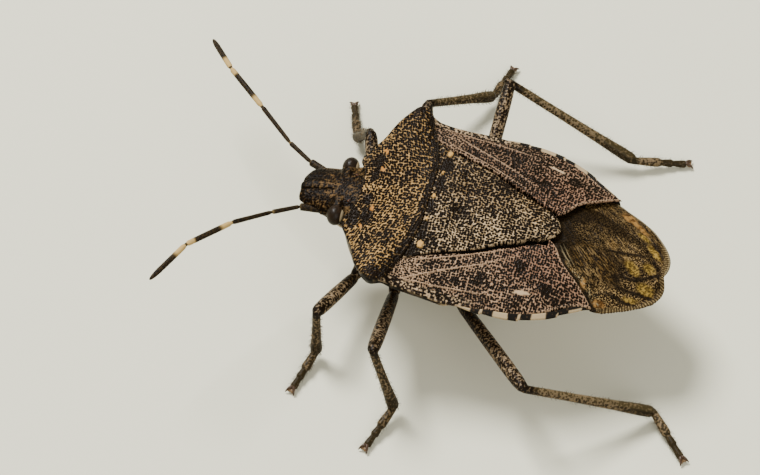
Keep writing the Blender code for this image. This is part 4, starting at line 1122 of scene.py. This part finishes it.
def along_limb(points, start, end):
    """Share of a straight limb's length and distance from its axis, for each point."""
    start, end = np.array(start), np.array(end)
    way = end - start
    share = (points - start) @ way / (way @ way)
    nearest = start + np.clip(share, 0, 1)[:, None] * way
    return share, np.linalg.norm(points - nearest, axis=1)


def make_leg(finishes, key):
    """Coxa, femur, tibia and three-part tarsus in one skin, and what its hairs need to know of it."""
    hip, knee, ankle, toe = (np.array(point) for point in LEGS[key])
    pair, side_name = key.split("_")
    cx, cy, cz = COXAE[pair]
    coxa = np.array((cx, cy if side_name == "right" else -cy, cz + 0.05))
    bend = knee + 0.05 * (knee - hip) / np.linalg.norm(knee - hip)
    parts = [
        loft([coxa + (0, 0, 0.62), coxa + (0, 0, 0.3), coxa + 0.12 * (hip - coxa) + (0, 0, 0.06),
              coxa + 0.45 * (hip - coxa), coxa + 0.75 * (hip - coxa), hip],
             (0.34, 0.34, 0.32, 0.28, 0.24, 0.18)),
        limb(hip, bend, ((-0.06, 0.12), (0.0, 0.22), (0.06, 0.245), (0.2, 0.26), (0.45, 0.28), (0.75, 0.285),
                         (0.9, 0.27), (0.97, 0.23), (1.0, 0.13))),
        limb(knee, ankle, ((-0.04, 0.08), (0.0, 0.17), (0.06, 0.17), (0.4, 0.18), (0.7, 0.21),
                           (0.9, 0.25), (0.97, 0.24), (1.01, 0.14))),
    ]
    joints = (0.0, 0.5, 0.72, 0.98)
    for start, end, radius in zip(joints, joints[1:], (0.185, 0.16, 0.15)):
        first, last = ankle + start * (toe - ankle), ankle + end * (toe - ankle)
        parts.append(limb(first, last, ((-0.06, 0.08), (0.04, radius * 0.82), (0.5, radius * 0.98),
                                        (0.88, radius * 1.08), (0.99, radius * 0.8))))
    points, faces, normals = skinned(parts)
    shares, distances = zip(*[along_limb(points, start, end) for start, end in
                              ((hip, knee), (knee, ankle), (ankle, toe), (coxa, hip))])
    owner = np.argmin([distance / reach for distance, reach in zip(distances, (0.34, 0.22, 0.16, 0.4))],
                      axis=0)
    segments = [owner == k for k in (FEMUR, TIBIA, TARSUS, COXA)]
    on_femur, on_tibia, on_tarsus = (np.clip(share, 0, 1) for share in shares[:3])
    away, own = punctures(points, 0.096, 29)
    pitting = ramp(0.45, 0.1, away) * (segments[FEMUR] | segments[COXA])
    points = points + normals * (-0.022 * pitting)[:, None]
    points[:, 2] = np.maximum(points[:, 2], 0.0)
    light = 0.5 if pair == "hind" else 0.2
    past_knee = ramp(0.04, 0.13, on_tibia)
    dark = np.select(segments, [0.15 + 0.35 * ramp(0.9, 0.98, on_femur) + 0.1 * ramp(0.35, 0.1, on_femur),
                                0.15 + 0.5 * (1 - past_knee) + 0.4 * ramp(0.55, 0.9, on_tibia),
                                0.1 + 0.7 * ramp(0.45, 0.6, on_tarsus), 0.3])
    pale = np.select(segments, [0.3 * bump_at(on_femur, 0.6, 0.3),
                                light * past_knee * ramp(1.0, 0.6, on_tibia),
                                light * ramp(0.6, 0.45, on_tarsus), 0.2])
    brown = np.select(segments, [0.85 * ramp(0.4, 0.15, on_femur), 0.4, 0.6, 0.4])
    # Painted sheen along the top of the tibia: faces that look upwards take more of the olive tone.
    glow = (0.1 + 0.25 * bump_at(normals[:, 2], 0.8, 0.2)) * past_knee
    olive_and_sheen = np.select(segments, [0.0, glow, 0.15, 0.0])
    nodes = ["leg_" + key + "_" + part for part in ("femur", "tibia", "tarsus")]
    piece("leg_" + key, points, faces, finishes["leg"], nodes,
          shading((away, own), np.clip(dark, 0, 1), pale, olive_and_sheen, brown))
    make_claws(finishes, key)
    return points, normals, owner, on_tibia, on_tarsus


def make_claws(finishes, key):
    """The two claws of a foot and the pads beneath them."""
    ankle, toe = (np.array(point) for point in LEGS[key][2:])
    ahead = unit((toe - ankle) * (1, 1, 0))
    aside = np.array((-ahead[1], ahead[0], 0))
    claw_points, claw_faces, pale_share = [], [], []
    count = 0
    for turn in (-1, 1):
        way = ahead * 0.86 + aside * turn * 0.5
        path, radii = [], []
        for share in np.linspace(0, 1, 16):
            arch = 0.05 + 0.28 * share - 0.4 * share ** 2
            path.append(toe - ahead * 0.1 + way * 0.4 * share + np.array((0, 0, arch)))
            radii.append(0.07 * (1 - share) ** 0.6 + 0.01)
        pad = [toe - ahead * 0.02 + way * 0.26 * share * 0.9 + np.array((0, 0, 0.02 - 0.03 * share))
               for share in np.linspace(0, 1, 10)]
        pad_radii = 0.03 + 0.07 * np.sin(np.linspace(0.1, math.pi - 0.2, 10))
        claw, cushion = loft(path, radii, CLAW_SIDES), loft(pad, pad_radii, CLAW_SIDES, flat=0.6)
        for (points, faces), tone in ((claw, 0.0), (cushion, 1.0)):
            points[:, 2] = np.maximum(points[:, 2], 0.0)
            claw_points.append(points)
            claw_faces += [tuple(count + k for k in face) for face in faces]
            count += len(points)
            pale_share.append(np.full(len(points), tone))
    piece("claws_" + key, np.concatenate(claw_points), claw_faces, finishes["claw"], (),
          {"pale": np.concatenate(pale_share)})


def make_hairs(finishes, name, roots, normals, lean, lengths, places):
    """Fine hairs as one mesh: each a bent three-sided spike with a small patch of its own map."""
    side = np.cross(normals, lean)
    side /= np.maximum(np.linalg.norm(side, axis=1, keepdims=True), 1e-6)
    other = np.cross(normals, side)
    points = []
    for share, slim in ((-0.1, 1.0), (0.45, 0.75)):
        centre = roots + (normals * share + lean * 0.35 * max(share, 0)) * lengths[:, None]
        for k in range(3):
            angle = 2 * math.pi * k / 3
            points.append(centre + HAIR_RADIUS * slim * (side * math.cos(angle) + other * math.sin(angle)))
    points.append(roots + (normals * 0.75 + lean * 0.8) * lengths[:, None])
    count = len(points)
    points = np.stack(points, axis=1).reshape(-1, 3)
    pattern = [(2, 1, 0)]
    for k in range(3):
        after = (k + 1) % 3
        pattern += [(k, after, 3 + after), (k, 3 + after, 3 + k), (3 + k, 3 + after, 6)]
    faces = (np.arange(len(roots))[:, None, None] * count + np.array(pattern)[None]).reshape(-1, 3)
    item = piece(name, points, faces.tolist(), finishes["hair"], turned=False)
    uv = item.data.uv_layers.new(name="OFBake")
    offsets = np.array(((0, 0), (0.003, 0), (0.0015, 0.002), (0, 0.001), (0.003, 0.001), (0.0015, 0.003),
                        (0.0015, 0.0015)))
    corner_of = np.empty(len(item.data.loops), np.int32)
    item.data.loops.foreach_get("vertex_index", corner_of)
    coordinates = places[corner_of // count] * 0.99 + offsets[corner_of % count]
    uv.data.foreach_set("uv", coordinates.astype(np.float32).ravel())


def make_leg_hairs(finishes, key, skin):
    """Hairs on a leg's tibia and tarsus, leaning towards the foot."""
    points, normals, owner, on_tibia, on_tarsus = skin
    draw = np.random.default_rng(sum(key.encode()))
    chosen = np.flatnonzero((owner == TIBIA) & (on_tibia > 0.05) | (owner == TARSUS))
    chosen = draw.permutation(chosen)[:HAIRS_PER_LEG]
    at_foot = owner[chosen] == TARSUS
    knee, ankle, toe = (np.array(point) for point in LEGS[key][1:])
    lean = np.where(at_foot[:, None], unit(toe - ankle), unit(ankle - knee))
    lengths = draw.uniform(0.09, 0.19, len(chosen))
    share = np.where(at_foot, 0.6 + 0.35 * on_tarsus[chosen], 0.05 + 0.5 * on_tibia[chosen])
    turn = np.arctan2(normals[chosen, 2], normals[chosen, 0] + 0.3 * normals[chosen, 1])
    places = np.stack([share, 0.02 + 0.95 * (turn / (2 * math.pi) + 0.5)], axis=-1)
    high = points[chosen, 2] > 0.12
    make_hairs(finishes, "hairs_" + key, points[chosen][high], normals[chosen][high], lean[high],
               lengths[high], places[high])


# Stage, in metres

FLOOR_REACH = 3.0
FLOOR_DROP = 0.00002             # keeps the floor just clear of the feet
STUDIO_LIGHT = 0.55              # strength of the light from all round
LAMPS = (("key", (-0.16, 0.12, 0.3), 0.14, 2.6), ("fill", (0.2, -0.25, 0.25), 0.3, 1.0))


def aimed(name, data, place, way):
    """A lamp or camera at a place, looking along a way."""
    item = placed(name, data)
    item.location = place
    item.rotation_mode = "QUATERNION"
    item.rotation_quaternion = way.to_track_quat("-Z", "Y")
    return item


def make_stage():
    """A plain pale floor, soft studio light, and the camera at the photograph's angle."""
    floor_finish = Finish("floor", 0.75)
    tone = floor_finish.mix(floor_finish.noise(30.0), (0.66, 0.645, 0.48), (0.70, 0.68, 0.52))
    corners = np.array([(-1, -1, 0), (1, -1, 0), (1, 1, 0), (-1, 1, 0)])
    floor = placed("floor", new_mesh("floor", FLOOR_REACH * corners, [(0, 1, 2, 3)], turned=False))
    floor.data.materials.append(floor_finish.finish(tone))
    floor.location.z = -FLOOR_DROP

    world = bpy.data.worlds.new("studio")
    world.use_nodes = True
    background = world.node_tree.nodes["Background"]
    background.inputs["Color"].default_value = (1.0, 0.985, 0.95, 1.0)
    background.inputs["Strength"].default_value = STUDIO_LIGHT
    bpy.context.scene.world = world

    middle = Vector((0, 0, 0.003))
    for name, place, size, energy in LAMPS:
        light = bpy.data.lights.new(name, "AREA")
        light.shape = "DISK"
        light.size = size
        light.energy = energy
        aimed(name, light, Vector(place), middle - Vector(place))

    camera = bpy.data.cameras.new("camera")
    camera.lens = LENS
    camera.sensor_width = SENSOR
    camera.clip_start = 0.01
    camera.clip_end = 10
    away = Vector((math.sin(VIEW_AZIMUTH) * math.cos(VIEW_ELEVATION),
                   -math.cos(VIEW_AZIMUTH) * math.cos(VIEW_ELEVATION), math.sin(VIEW_ELEVATION)))
    place = Vector((np.array(VIEW_TARGET) + CENTRE) * MM) + away * VIEW_DISTANCE * MM
    bpy.context.scene.camera = aimed("camera", camera, place, -away)


def main():
    """Everything, from the stage to the hairs."""
    finishes = make_finishes()
    make_stage()
    make_pronotum(finishes)
    make_scutellum(finishes)
    for side_name, side in SIDES.items():
        make_corium(finishes, side_name, side)
    make_left_membrane(finishes)
    make_right_membrane(finishes)
    make_body(finishes)
    make_head(finishes)
    make_eyes(finishes)
    make_antennae(finishes)
    make_rostrum(finishes)
    for key in LEGS:
        make_leg_hairs(finishes, key, make_leg(finishes, key))


main()
